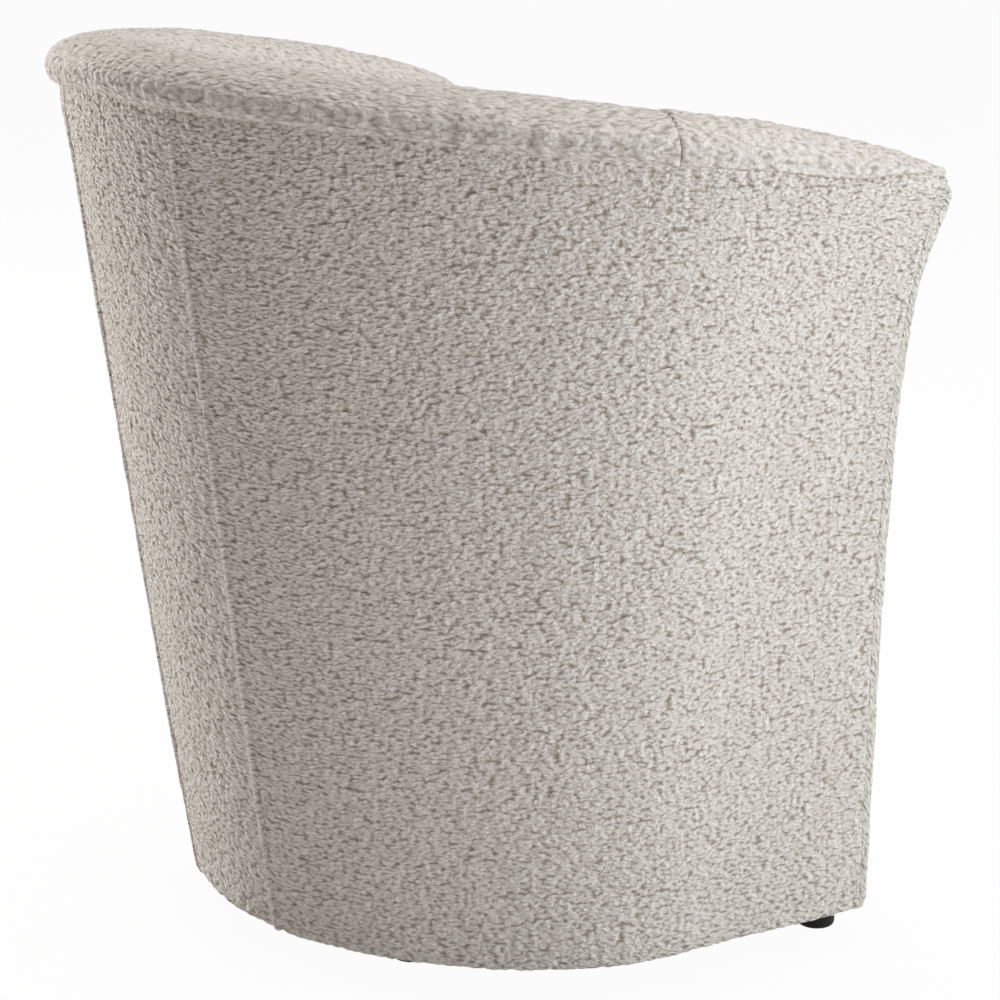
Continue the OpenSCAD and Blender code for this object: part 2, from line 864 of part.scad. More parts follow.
module arm_front_padding(side) {
    low = plate_top + layer_gap;
    color("lightyellow")
        sided(side)
            slab(face_grid(low, cover_t + layer_gap, false, padding_edge_t),
                face_grid(low, cover_t + layer_gap, true));
}

module arm_front_cover(side) {
    color("antiquewhite")
        sided(side) slab(face_grid(floor_gap, 0), face_grid(floor_gap, cover_t));
}

module outside_back_cover() {
    end = rear_seam_share - seam_share;
    color("antiquewhite") outer_layer(-end, end, floor_gap, seat_gap, 0, cover_t);
}

module outside_arm_cover(side) {
    color("antiquewhite")
        sided(side)
            outer_layer(rear_seam_share + seam_share, end_share, floor_gap, seat_gap, 0, cover_t);
}

// The inside covers run up the inside wall and over the roll
module inside_cover(from, to) {
    function sheet(inset) = [
        for (u = stations(from, to))
            concat(
                [for (t = rows(u, share_at(u, inside_low_z), 1)) in_point(u, t, inset)],
                [for (a = steps(180 - 180 / roll_steps, 0, roll_steps - 1)) roll_point(u, a, inset)]
            )
    ];
    color("antiquewhite") slab(sheet(0), sheet(cover_t));
}

module inside_back_cover() {
    inside_cover(-cross_seam_share + seam_share, cross_seam_share - seam_share);
}

module inside_arm_cover(side) {
    sided(side) inside_cover(cross_seam_share + seam_share, end_share);
}

module front_border_cover() {
    color("antiquewhite")
        slab(upright(border_outline(0), floor_gap, deck_z),
            upright(border_outline(cover_t), floor_gap, deck_z));
}

module dust_cover() {
    z = plate_z - seat_gap - dust_cover_t;
    color("black")
        difference() {
            plate(z, plate_outline(plate_z, frame_in, false), dust_cover_t);
            for (p = foot_places)
                translate([p.x, p.y, z - overrun])
                    cylinder(d = neck_d + 2 * foot_room, h = dust_cover_t + 2 * overrun, $fn = 48);
        }
}

// A foot: a moulded post with a rounded sole, a recess for its screw and a
// narrower neck inside the covers' hems
module foot(place) {
    shoulder = floor_gap - shoulder_gap;
    color("black")
        translate([place.x, place.y, 0])
            difference() {
                rotate_extrude($fn = 64)
                    polygon([
                        [0, 0], [sole_d / 2, 0],
                        for (a = steps(15, 90, 5))
                            [
                                sole_d / 2 + (foot_d - sole_d) / 2 * sin(a),
                                foot_edge_h * (1 - cos(a))
                            ],
                        [foot_d / 2, shoulder], [neck_d / 2, shoulder],
                        [neck_d / 2, plate_z], [0, plate_z]
                    ]);
                translate([0, 0, -overrun])
                    cylinder(d = foot_recess_d, h = foot_recess_h + overrun, $fn = 48);
                translate([0, 0, -overrun])
                    cylinder(d = screw_d + 2 * screw_room, h = plate_z + 2 * overrun, $fn = 32);
            }
}

module foot_screws() {
    color("silver")
        for (p = foot_places)
            translate([p.x, p.y, foot_recess_h - screw_head_h]) {
                cylinder(d = screw_head_d, h = screw_head_h, $fn = 48);
                cylinder(d = screw_d, h = screw_head_h + screw_l, $fn = 32);
            }
}

// The cushion's outline up its height. Each row gives the inset from the
// widest outline, the height over the underside, the direction into the
// cushion as shares along and up, and the share of the loop that is left.
top_rows = concat(
    [[0, cushion_h, 1, 0, 1]],
    [
        for (i = [0:len(crown_shares) - 1])
            [
                seam_round, cushion_h + crown_h * crown_shares[i],
                crown_lean_share * pow(crown_lean_fall_share, i),
                i == 0 ? -crown_drop_share : -1, loop_shares[i]
            ]
    ]
);
side_rows = [
    for (k = boxing_shares)
        [
            k == 0 || k == 1 ? 0 : draw_in,
            lower_seam_h + (cushion_h - lower_seam_h) * k, 1, 0, 1
        ]
];
bottom_rows = [
    [edge_round, 0, 0, 1, underside_share],
    [edge_round, 0, 0, 1, 1],
    [
        seam_round / 2, lower_seam_h * edge_rise_share,
        edge_lean_shares[0], edge_lean_shares[1], 1
    ],
    [0, lower_seam_h, 1, 0, 1]
];

function cushion_ring(row, depth) =
    let(
        z = cushion_z + row[1] + depth * row[3],
        loop = cushion_loop(z, row[0] + depth * row[2]),
        c = middle(loop)
    )
    raised([for (p = loop) c + (p - c) * row[4]], z);
function rings_of(rows, depth) = [for (r = rows) cushion_ring(r, depth)];
function backwards(v) = [for (i = [len(v) - 1:-1:0]) v[i]];
function tip_of(row, z) = let(m = middle(cushion_ring(row, 0))) [m.x, m.y, cushion_z + z];

module cushion_top_panel() {
    last = top_rows[len(top_rows) - 1];
    color("antiquewhite")
        skin(
            concat(backwards(rings_of(top_rows, cushion_cover_t)), rings_of(top_rows, 0)),
            [
                tip_of(last, cushion_h + crown_h - cushion_cover_t),
                tip_of(last, cushion_h + crown_h)
            ]
        );
}

module cushion_boxing() {
    color("antiquewhite")
        skin(concat(rings_of(side_rows, 0), backwards(rings_of(side_rows, cushion_cover_t))));
}

module cushion_bottom_panel() {
    color("antiquewhite")
        skin(
            concat(rings_of(bottom_rows, 0), backwards(rings_of(bottom_rows, cushion_cover_t))),
            [tip_of(bottom_rows[0], 0), tip_of(bottom_rows[0], cushion_cover_t)]
        );
}

module cushion_foam() {
    depth = cushion_cover_t + layer_gap;
    rows = concat(bottom_rows, [side_rows[1], side_rows[2]], top_rows);
    color("lightyellow")
        skin(rings_of(rows, depth), [
            tip_of(bottom_rows[0], depth),
            tip_of(top_rows[0], cushion_h + crown_h - depth)
        ]);
}

base_frame();
seat_frame();
front_apron();
rib_back();
rib_back_side(1);  // rib_back_left
rib_back_side(-1);  // rib_back_right
rib_side(1);  // rib_side_left
rib_side(-1);  // rib_side_right
rib_arm(1);  // rib_arm_left
rib_arm(-1);  // rib_arm_right
arm_front_board(1);  // arm_front_board_left
arm_front_board(-1);  // arm_front_board_right
top_rail();
ledger_blocks();
seat_springs();
spring_clips();
seat_padding();
deck_cover();
outer_board_back();
outer_board_side(1);  // outer_board_left
outer_board_side(-1);  // outer_board_right
inner_board_back();
inner_board_side(1);  // inner_board_left
inner_board_side(-1);  // inner_board_right
inside_back_padding();
inside_arm_padding(1);  // inside_arm_padding_left
inside_arm_padding(-1);  // inside_arm_padding_right
rim_padding();
front_padding();
arm_front_padding(1);  // arm_front_padding_left
arm_front_padding(-1);  // arm_front_padding_right
outside_back_cover();
outside_arm_cover(1);  // outside_arm_cover_left
outside_arm_cover(-1);  // outside_arm_cover_right
inside_back_cover();
inside_arm_cover(1);  // inside_arm_cover_left
inside_arm_cover(-1);  // inside_arm_cover_right
arm_front_cover(1);  // arm_front_cover_left
arm_front_cover(-1);  // arm_front_cover_right
front_border_cover();
dust_cover();
foot(foot_places[0]);  // foot_front_left
foot(foot_places[1]);  // foot_front_right
foot(foot_places[2]);  // foot_rear_left
foot(foot_places[3]);  // foot_rear_right
foot_screws();
cushion_top_panel();
cushion_boxing();
cushion_bottom_panel();
cushion_foam();
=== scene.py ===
import bpy
import math
import numpy as np
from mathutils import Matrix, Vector


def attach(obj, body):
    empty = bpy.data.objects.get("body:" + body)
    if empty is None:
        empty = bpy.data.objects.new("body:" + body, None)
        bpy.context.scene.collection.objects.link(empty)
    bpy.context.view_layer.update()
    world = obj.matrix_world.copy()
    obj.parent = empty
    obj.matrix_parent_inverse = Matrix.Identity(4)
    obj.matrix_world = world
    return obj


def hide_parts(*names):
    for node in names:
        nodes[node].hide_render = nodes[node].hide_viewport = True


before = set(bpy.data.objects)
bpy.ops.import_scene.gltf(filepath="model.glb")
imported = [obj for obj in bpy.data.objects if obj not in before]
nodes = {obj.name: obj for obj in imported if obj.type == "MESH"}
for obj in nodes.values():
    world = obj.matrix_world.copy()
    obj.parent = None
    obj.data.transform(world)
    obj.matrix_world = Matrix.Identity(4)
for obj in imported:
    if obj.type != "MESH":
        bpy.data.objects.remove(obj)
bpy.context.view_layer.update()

# The camera stands behind the chair's right rear corner, a little above the rim
cameraSize = {"place": (-1.6800, 1.0240, 0.8747), "look": (0.8092, -0.5219, -0.2698),
              "lens": 93.1, "sensor": 36.0, "shift": 0.0039}

cameraData = bpy.data.cameras.new("photoCamera")
cameraData.lens = cameraSize["lens"]
cameraData.sensor_width = cameraSize["sensor"]
cameraData.sensor_fit = "HORIZONTAL"
cameraData.shift_x = cameraSize["shift"]
cameraData.clip_end = 50
cameraObject = bpy.data.objects.new("photoCamera", cameraData)
bpy.context.scene.collection.objects.link(cameraObject)
cameraObject.location = cameraSize["place"]
cameraObject.rotation_euler = Vector(cameraSize["look"]).to_track_quat("-Z", "Y").to_euler()
bpy.context.scene.camera = cameraObject
bpy.context.scene.view_settings.view_transform = "Standard"
print("camera set")

# The shell's own sizes in metres, the same that the hidden frame is built to
shell = {
    "backRim": 0.668, "armRim": 0.613, "rimHalf": 0.360, "baseHalf": 0.270,
    "rimBack": 0.334, "baseBack": 0.251, "rimFront": 0.138, "baseFront": 0.155,
    "frontSpread": 0.009, "floorGap": 0.029, "wallBase": 0.058, "wallRim": 0.074,
    "centreY": 0.0595,
    "bendShare": 0.51, "bendRun": 0.72, "bendSoft": 0.12, "straightShare": 0.11, "cornerCutShare": 0.03,
    "backPower": 0.9, "armPower": 5, "fallStartShare": 0.117, "fallEndShare": 1.274,
    "cover": 0.004, "deck": 0.288, "rearSeam": 0.15, "crossSeam": 0.84,
}


def ease(x):
    c = np.clip(x, 0, 1)
    return c * c * (3 - 2 * c)


def bell(x):
    return np.exp(-x * x)


def runOf(line):  # length along a line to each of its points
    return np.concatenate([[0], np.cumsum(np.linalg.norm(np.diff(line, axis=0), axis=-1))])


def lineAt(s, line):  # points of a flat line at given lengths
    run = runOf(line)
    return np.stack([np.interp(s, run, line[:, 0]), np.interp(s, run, line[:, 1])], -1)


def runAlong(u):  # share of the cloth's length from the middle of the back to an arm front
    a, bend = np.abs(u), shell["bendRun"]
    return np.where(a < 1, bend * a, bend + (1 - bend) * (a - 1))


def placeAt(run):  # the place u on one side that has this share of the length
    bend = shell["bendRun"]
    return np.where(run < bend, run / bend, 1 + (run - bend) / (1 - bend))


def wayAlong(u):  # how far the shell has changed from its back to its arm, quicker along the arm
    run, bend, soft = runAlong(u), shell["bendRun"], shell["bendSoft"]
    slow, quick = shell["bendShare"] / bend, (1 - shell["bendShare"]) / (1 - bend)
    past = run - bend
    extra = np.where(past < -soft, 0, np.where(past > soft, past, (past + soft) ** 2 / (4 * soft)))
    return slow * run + (quick - slow) * extra


def planLevel(u, half, back, front, spread):
    a = np.pi / 2 * np.minimum(np.abs(u), 1)
    k = np.maximum(np.abs(u) - 1, 0)
    r = 1 - shell["cornerCutShare"] * np.sin(2 * a) ** 2
    x = np.sign(u) * (half * r * np.sin(a) + spread * ease(k))
    y = back * r * np.cos(a) - front * k - shell["centreY"]
    return np.stack([x, y], -1)


def rimHeight(u):
    start, end = shell["fallStartShare"], shell["fallEndShare"]
    first = ease(start)
    fallen = (ease(start + (end - start) * wayAlong(u)) - first) / (1 - first)
    return shell["backRim"] - (shell["backRim"] - shell["armRim"]) * fallen


def flareShare(u, t):
    t = np.clip(t, 0, None)
    straight = shell["straightShare"]
    back = straight * t + (1 - straight) * t ** shell["backPower"]
    arm = straight * t + (1 - straight) * t ** shell["armPower"]
    return back + (arm - back) * ease(wayAlong(u))


def outsidePlan(u, t):
    u, t = np.broadcast_arrays(u, t)
    low = planLevel(u, shell["baseHalf"], shell["baseBack"], shell["baseFront"], shell["frontSpread"])
    high = planLevel(u, shell["rimHalf"], shell["rimBack"], shell["rimFront"], 0)
    return low + (high - low) * flareShare(u, t)[..., None]


def inwardWay(u, t, step=0.03):
    run = np.sign(u) * runAlong(u)
    ends = [np.clip(run + k, -1, 1) for k in (step, -step)]
    ahead, behind = [np.sign(end) * placeAt(np.abs(end)) for end in ends]
    d = outsidePlan(ahead, t) - outsidePlan(behind, t)
    turned = np.stack([d[..., 1], -d[..., 0]], -1)
    return turned / np.linalg.norm(turned, axis=-1, keepdims=True)


def wallThick(t):
    return shell["wallBase"] + (shell["wallRim"] - shell["wallBase"]) * t


def wallPoint(u, t, depth):  # a point at a depth from the outside of the wall
    plan = outsidePlan(u, t) + np.asarray(depth)[..., None] * inwardWay(u, t)
    z = shell["floorGap"] + (rimHeight(u) - shell["floorGap"]) * t
    return np.concatenate([plan, np.broadcast_to(z, plan.shape[:-1])[..., None]], -1)


# The padded roll hangs out over its seam at the back and behind the corners
hang = {"out": 0.0110, "outEnd": 0.0032, "turn": 0.50, "backTurn": 0.45, "backRun": 1.8,
        "top": 0.6955, "fall": 0.0676, "fallPower": 1.47, "tipFall": 0.0100, "tipPower": 8,
        "cornerLift": 0.0018, "cornerAt": 0.66, "cornerRun": 0.24,
        "drop": 0.0045, "dropStart": 0.10, "dropRun": 0.35, "dropTurn": 0.9,
        "droop": 0.0040, "droopTurn": 0.20, "flatStart": 0.62, "flatRun": 0.45}


def seamDrop(u):  # how far the roll's outside seam lies below the rim at the back
    return hang["drop"] * (1 - ease((np.abs(u) - hang["dropStart"]) / hang["dropRun"]))


def rollTop(u):  # the roll's own height falls evenly along the cloth to the arm fronts
    run = runAlong(u)
    corner = bell((np.abs(u) - hang["cornerAt"]) / hang["cornerRun"])
    fall = hang["fall"] * run ** hang["fallPower"] + hang["tipFall"] * run ** hang["tipPower"]
    return hang["top"] - fall + hang["cornerLift"] * corner


def hangShare(u):  # the roll lies flat on its seam along the arms
    return 1 - ease((np.abs(u) - hang["flatStart"]) / hang["flatRun"])


def rollPoint(u, angle):  # 0 is the rim seam outside, pi the top of the inside wall
    half = shell["wallRim"] / 2
    over = hang["outEnd"] + (hang["out"] - hang["outEnd"]) * hangShare(u)
    rising = np.sin(np.clip(angle / hang["turn"], 0, 1) * np.pi / 2)
    over = over * rising * (1 - ease((angle - hang["backTurn"]) / hang["backRun"]))
    across = half - half * np.cos(angle) - over
    plan = outsidePlan(u, 1.0) + across[..., None] * inwardWay(u, np.ones_like(u))
    z = rimHeight(u) + (rollTop(u) - rimHeight(u)) * np.sin(angle)
    z = z - seamDrop(u) * (1 - ease(angle / hang["dropTurn"]))
    z = z - hang["droop"] * hangShare(u) * bell((angle - hang["droopTurn"]) / hang["droopTurn"])
    return np.concatenate([plan, z[..., None]], -1)


def shareAt(u, z):  # share of the wall's height at a level
    return (z - shell["floorGap"]) / (rimHeight(u) - shell["floorGap"])


# The arms' ends are drawn in and down a little towards their fronts
tip = {"start": -0.168, "run": 0.046, "low": 0.588, "rise": 0.03, "narrow": 0.14,
       "sink": 0.0020, "sinkLow": 0.572, "sinkRun": 0.04}


def tipShape(points):
    x, y, z = points[..., 0], points[..., 1], points[..., 2]
    near = ease((tip["start"] - y) / tip["run"])
    t = np.clip(shareAt(2.0, z), 0, 1)
    middle = np.sign(x) * (outsidePlan(np.full_like(t, 2.0), t)[..., 0] - wallThick(t) / 2)
    shaped = points.copy()
    shaped[..., 0] += (middle - x) * tip["narrow"] * near * ease((z - tip["low"]) / tip["rise"])
    shaped[..., 2] -= tip["sink"] * near * ease((z - tip["sinkLow"]) / tip["sinkRun"])
    return shaped


# The pile: rows of short loops that gather in clumps. The mesh has the clumps,
# the material has the single loops.
pile = {"clumpLength": 0.0086, "clumpRow": 0.0056, "depth": 0.0013, "puff": 0.030, "puffDepth": 0.0005,
        "sag": 0.12, "sagDepth": 0.0005, "hem": 0.0040, "hemRun": 0.03, "meanHeight": 0.55,
        "alongWave": (0.021, 0.013), "alongWander": 0.7, "upWave": (0.017, 0.019), "upWander": 1.2,
        "looseAlong": 0.7, "looseUp": 0.8, "lean": 1.6, "wide": (0.42, 0.26), "high": (0.52, 0.26),
        "roundness": 0.7, "lowest": 0.55, "pieceShift": 0.37}


def scattered(i, j, salt):  # the same number from 0 to 1 for the same clump each run
    v = np.sin(i * 127.1 + j * 311.7 + salt * 74.7) * 43758.5453
    return v - np.floor(v)


def softNoise(x, y, salt):  # from 0 to 1, with a wave of one unit
    i, j = np.floor(x), np.floor(y)
    a, b = ease(x - i), ease(y - j)
    low = scattered(i, j, salt) * (1 - a) + scattered(i + 1, j, salt) * a
    high = scattered(i, j + 1, salt) * (1 - a) + scattered(i + 1, j + 1, salt) * a
    return low * (1 - b) + high * b


def clumpsOfPile(along, up, salt):
    length, row = pile["clumpLength"], pile["clumpRow"]
    (alongX, alongY), (upX, upY) = pile["alongWave"], pile["upWave"]
    wander = softNoise(along / alongX, up / alongY, salt + 11) - 0.5
    along = along + pile["alongWander"] * length * wander
    wander = softNoise(along / upX, up / upY, salt + 12) - 0.5
    up = up + pile["upWander"] * row * wander
    tall = np.zeros_like(along)
    for dr in (-1, 0, 1):
        r = np.floor(up / row) + dr
        shift = scattered(r, 0 * r, salt)
        for dc in (-1, 0, 1):
            c = np.floor(along / length + shift) + dc
            draws = [scattered(c, r, salt + k) for k in range(1, 7)]
            x = along - (c + 0.5 - shift + pile["looseAlong"] * (draws[0] - 0.5)) * length
            y = up - (r + 0.5 + pile["looseUp"] * (draws[1] - 0.5)) * row
            turn = pile["lean"] * (draws[2] - 0.5)
            wide = length * (pile["wide"][0] + pile["wide"][1] * draws[3])
            high = row * (pile["high"][0] + pile["high"][1] * draws[4])
            a = (x * np.cos(turn) + y * np.sin(turn)) / wide
            b = (y * np.cos(turn) - x * np.sin(turn)) / high
            mound = np.clip(1 - a * a - b * b, 0, 1) ** pile["roundness"]
            tall = np.maximum(tall, mound * (pile["lowest"] + (1 - pile["lowest"]) * draws[5]))
    return tall


def gridNormals(points):  # outwards where rows go up the outside and columns turn left
    down = np.gradient(points, axis=0)
    along = np.gradient(points, axis=1)
    n = np.cross(down, along)
    return n / np.maximum(np.linalg.norm(n, axis=-1, keepdims=True), 1e-12)


def gridRuns(points):  # lengths along each row and up each column
    along = np.linalg.norm(np.diff(points, axis=1), axis=-1)
    up = np.linalg.norm(np.diff(points, axis=0), axis=-1)
    along = np.concatenate([np.zeros((len(points), 1)), np.cumsum(along, 1)], 1)
    up = np.concatenate([np.zeros((1, points.shape[1])), np.cumsum(up, 0)], 0)
    return along, up


def meshObject(name, points, faces, heights, ways=None, smooth=None):
    mesh = bpy.data.meshes.new(name)
    mesh.from_pydata(points.tolist(), [], faces)
    tone = mesh.attributes.new("pileHeightAndShade", "FLOAT", "POINT")
    tone.data.foreach_set("value", np.asarray(heights, np.float32))
    if ways is not None:
        spreadWays(mesh, ways)
    smooth = len(faces) if smooth is None else smooth
    mesh.polygons.foreach_set("use_smooth", [k < smooth for k in range(len(faces))])
    mesh.update()
    piece = bpy.data.objects.new(name, mesh)
    bpy.context.scene.collection.objects.link(piece)
    return piece


def spreadWays(mesh, ways):  # the cloth's own map: metres along and up the weave
    corners = np.empty(len(mesh.loops), np.int32)
    mesh.loops.foreach_get("vertex_index", corners)
    clothMap = mesh.uv_layers.get("clothWay") or mesh.uv_layers.new(name="clothWay")
    clothMap.data.foreach_set("uv", ways[corners].astype(np.float32).ravel())


def edgeFaces(fine, coarse, picks):  # joins a fine edge to a coarse one that has some of its places
    faces = []
    for k in range(len(picks) - 1):
        first, last = picks[k], picks[k + 1]
        half = (first + last) // 2
        for i in range(first, last):
            faces.append([int(fine[i]), int(fine[i + 1]), int(coarse[k if i < half else k + 1])])
        faces.append([int(fine[half]), int(coarse[k + 1]), int(coarse[k])])
    return faces


# How a cover's edge goes into its seam: tucked in a groove, flush with the next
# cover, folded up in a thin ridge, or open where it is turned under
# A ridge's raised fold is also painted lighter, a painted highlight, and the groove beside it darker, a
# painted shade; at the rim both are weaker.
seams = {"tuckWidth": 0.0036, "tuckDepth": 0.0013, "flushWidth": 0.0025, "endRun": 0.025,
         "stitch": 0.0072, "stitchDepth": 0.0006, "stitchWidth": 0.003,
         "dotWidth": 0.0015, "dotTone": 1.3, "dotMean": 0.8, "dotSwing": 0.5,
         "ridgeWidth": 0.0017, "ridgeHeight": 0.0019, "ridgeHighlight": 2.3, "ridgeSharp": 0.6,
         "ridgeWave": 0.012, "unevenLow": 0.75, "unevenSwing": 0.5, "bareWidth": 0.0035,
         "besideAt": 0.0058, "besideWidth": 0.0018, "besideDepth": 0.0006, "besideShade": 0.35,
         "rootWidth": 0.0005, "rootDepth": 0.0004, "rimRelief": 0.7, "rimLightAndShade": 0.5}


def edgeRise(run, kind, along):  # share of the pile that is left, its extra rise, and its tone: a dark stitched line along a tuck, and at a ridge a painted highlight on the fold with painted shade beside it
    one, zero = np.ones_like(run), np.zeros_like(run)
    if kind == "open":
        return one, zero, zero
    if kind == "flush":
        return np.clip(run / seams["flushWidth"], 0, 1), zero, zero
    if kind == "tuck":
        near = np.clip(run / seams["tuckWidth"], 0, 1)
        tuck = 1 - np.sqrt(np.clip(1 - (1 - near) ** 2, 0, 1))
        wave = np.cos(2 * np.pi * along / seams["stitch"])
        stitch = seams["stitchDepth"] * wave * bell(run / seams["stitchWidth"])
        dot = seams["dotMean"] + seams["dotSwing"] * wave
        return (1 - tuck, -seams["tuckDepth"] * tuck + stitch,
                -seams["dotTone"] * dot * bell(run / seams["dotWidth"]))
    uneven = seams["unevenLow"] + seams["unevenSwing"] * softNoise(along / seams["ridgeWave"], 0 * along, 31)
    fold = bell((run - seams["ridgeWidth"]) / (seams["ridgeSharp"] * seams["ridgeWidth"])) * uneven
    beside = bell((run - seams["besideAt"]) / seams["besideWidth"])
    root = seams["rootDepth"] * bell(run / seams["rootWidth"])
    return (1 - bell(run / seams["bareWidth"]),
            seams["ridgeHeight"] * fold - seams["besideDepth"] * beside - root,
            seams["ridgeHighlight"] * fold - seams["besideShade"] * beside)


# A cover is a fine grid with the pile on it and a coarse one, with every eighth place,
# at the back of the padding's skin. They are joined along their edges.
def closedCover(name, points, rise, form, heights, ways, every=8):
    rows, columns = points.shape[:2]
    normals = gridNormals(points)
    outer = points + normals * rise[..., None]
    pickRows = sorted(set(range(0, rows - 1, every)) | {rows - 1})
    pickColumns = sorted(set(range(0, columns - 1, every)) | {columns - 1})
    formed = points + normals * np.asarray(np.minimum(form, 0) - shell["cover"])[..., None]
    inner = formed[np.ix_(pickRows, pickColumns)]
    grid = np.arange(rows * columns).reshape(rows, columns)
    back = rows * columns + np.arange(inner.shape[0] * inner.shape[1]).reshape(inner.shape[:2])
    faces = np.stack([grid[:-1, :-1], grid[1:, :-1], grid[1:, 1:], grid[:-1, 1:]], -1)
    faces = faces.reshape(-1, 4).tolist()
    smooth = len(faces)
    turned = np.stack([back[:-1, :-1], back[:-1, 1:], back[1:, 1:], back[1:, :-1]], -1)
    faces += turned.reshape(-1, 4).tolist()
    faces += edgeFaces(grid[0], back[0], pickColumns)
    faces += edgeFaces(grid[-1][::-1], back[-1][::-1], [columns - 1 - p for p in pickColumns[::-1]])
    faces += edgeFaces(grid[:, 0][::-1], back[:, 0][::-1], [rows - 1 - p for p in pickRows[::-1]])
    faces += edgeFaces(grid[:, -1], back[:, -1], pickRows)
    flat = np.concatenate([outer.reshape(-1, 3), inner.reshape(-1, 3)])
    ways = np.concatenate([ways.reshape(-1, 2), ways[np.ix_(pickRows, pickColumns)].reshape(-1, 2)])
    heights = np.concatenate([heights.ravel(), np.zeros(inner.shape[0] * inner.shape[1])])
    return meshObject(name, flat, faces, heights, ways, smooth)


# Lays the pile on a cover's shape and leads it into the seams. The edges are named in
# the order lowest row, highest row, first column, last column.
def coverPiece(name, points, salt, form=0.0, tuft=1.0, edges=("open", "tuck", "tuck", "tuck"),
               ridgeShare=None, shadeTone=0.0):
    points = tipShape(points)
    low = points[..., 2] - shell["floorGap"]
    points = points - np.array([0, 0, pile["hem"]]) * (1 - ease(low / pile["hemRun"]))[..., None]
    along, up = gridRuns(points)
    middle = along[:, -1:] / 2
    clumps = clumpsOfPile((along - middle) / tuft, up / tuft, salt)
    puff = softNoise((along - middle) / pile["puff"], up / pile["puff"], salt + 21) - 0.5
    sag = softNoise((along - middle) / pile["sag"], up / pile["sag"], salt + 22) - 0.5
    rise = pile["depth"] * tuft * (clumps - pile["meanHeight"])
    left, extra, tone = np.ones_like(up), np.zeros_like(up), np.zeros_like(up)
    runs = (up, up[-1:] - up, along, along[:, -1:] - along)
    still = np.ones_like(up)
    for run, kind in zip(runs[2:], edges[2:]):
        still = still * (ease(run / seams["endRun"]) if kind == "flush" else 1)
    for run, kind, way in zip(runs, edges, (along, along, up, up)):
        share, more, shade = edgeRise(run, kind, way)
        if kind == "ridge" and run is runs[1]:  # at the rim the ridge is low, its painted highlight and shade are weaker, and it ends behind the corner
            ridged = (share, seams["rimRelief"] * more, seams["rimLightAndShade"] * shade)
            plain = edgeRise(run, "tuck", way)
            share, more, shade = (b + (a - b) * ridgeShare for a, b in zip(ridged, plain))
        kept = still if run is runs[0] or run is runs[1] else 1
        left = np.minimum(left, 1 - (1 - share) * kept)
        extra, tone = extra + more * kept, tone + shade * kept
    rise = (rise + 2 * pile["puffDepth"] * puff + 2 * pile["sagDepth"] * sag) * left + extra + form
    # The colour follows this value: painted shade low between the clumps, the seams' painted highlights,
    # painted shade and stitches, and shadeTone's painted shade.
    heights = pile["meanHeight"] + (clumps - pile["meanHeight"]) * left + tone + shadeTone
    ways = np.stack([along - middle + salt, up + salt * pile["pieceShift"]], -1)
    return closedCover(name, points, rise, form, heights, ways)


def runPlaces(length, gap, fineStart=True, fineEnd=True):  # even places, closer together at a seam
    fine = np.array([0, 0.0005, 0.0010, 0.0016, 0.0023, 0.0031, 0.0041, 0.0053])
    start = fine if fineStart else np.array([0.0])
    end = (length - fine[::-1]) if fineEnd else np.array([length])
    count = max(int((end[0] - start[-1]) / gap), 2)
    return np.concatenate([start, np.linspace(start[-1], end[0], count + 1)[1:-1], end])


def evenPlaces(start, end, gap, t=0.85, fine=(False, False), steps=1601):  # places an even way apart
    u = np.linspace(start, end, steps)
    run = runOf(wallPoint(u, np.full_like(u, t), 0.0))
    return np.interp(runPlaces(run[-1], gap, *fine), run, u)


# The outside covers, from a hem turned in under the chair up to the rim seam
outside = {"gap": 0.0022, "height": 0.62, "hemRound": 0.006, "hemTurns": (0.010, 0.005),
           "hemSteps": 7, "hemReach": 0.6, "wallHeight": 0.61, "underRoll": 0.0020,
           "hollow": 0.0012, "hollowHeight": 0.014, "pinch": 0.0004, "pinchHeight": 0.010,
           "pucker": 0.0008, "puckerRun": 0.013, "puckerHeight": 0.026, "puckerRise": 0.006,
           "puckerPlaces": (0.80, 1.12, 0.10), "puckerWave": (0.04, 0.05), "puckerSway": 4}


def between(x, start, end, soft):  # 1 between two places, easing to 0 on both sides
    return ease((x - start) / soft + 0.5) * ease((end - x) / soft + 0.5)


def outsideForm(u, under, along):  # how the cloth is drawn in under the rim seam
    drawn = outside["hollow"] * hangShare(u) * bell(under / outside["hollowHeight"])
    drawn = drawn + outside["pinch"] * bell(under / outside["pinchHeight"])
    waveX, waveY = outside["puckerWave"]
    sway = outside["puckerSway"] * softNoise(along / waveX, under / waveY, 5)
    folds = np.sin(2 * np.pi * along / outside["puckerRun"] + sway)
    folds = folds * outside["pucker"] * between(np.abs(u), *outside["puckerPlaces"])
    folds = folds * np.exp(-under / outside["puckerHeight"])
    return folds * ease(under / outside["puckerRise"]) - drawn


def outsideCover(name, start, end, salt, edges):
    fine = tuple(kind == "ridge" or kind == "tuck" for kind in edges[2:])
    u = evenPlaces(start, end, outside["gap"], fine=fine)
    r = outside["hemRound"]
    length, first = outside["height"] - r, r / outside["hemReach"]
    t = first + (1 - first) * (runPlaces(length, outside["gap"], False, True) / length)
    bottom = np.zeros_like(u)
    grid = [wallPoint(u, bottom, np.full_like(u, r + k)) for k in outside["hemTurns"]]
    for a in np.linspace(0, np.pi / 2, outside["hemSteps"])[:-1]:
        point = wallPoint(u, bottom, np.full_like(u, r - r * np.sin(a)))
        point[:, 2] += r - r * np.cos(a)
        grid.append(point)
    top = 1 + (outside["underRoll"] * hangShare(u) - seamDrop(u)) / outside["wallHeight"]
    for share in t:
        grid.append(wallPoint(u, t[0] + (top - t[0]) * (share - t[0]) / (1 - t[0]), bottom))
    points = np.stack(grid)
    along, up = gridRuns(points)
    form = outsideForm(np.broadcast_to(u, up.shape), up[-1:] - up, along)
    return coverPiece(name, points, salt, form, edges=edges, ridgeShare=hangShare(u))


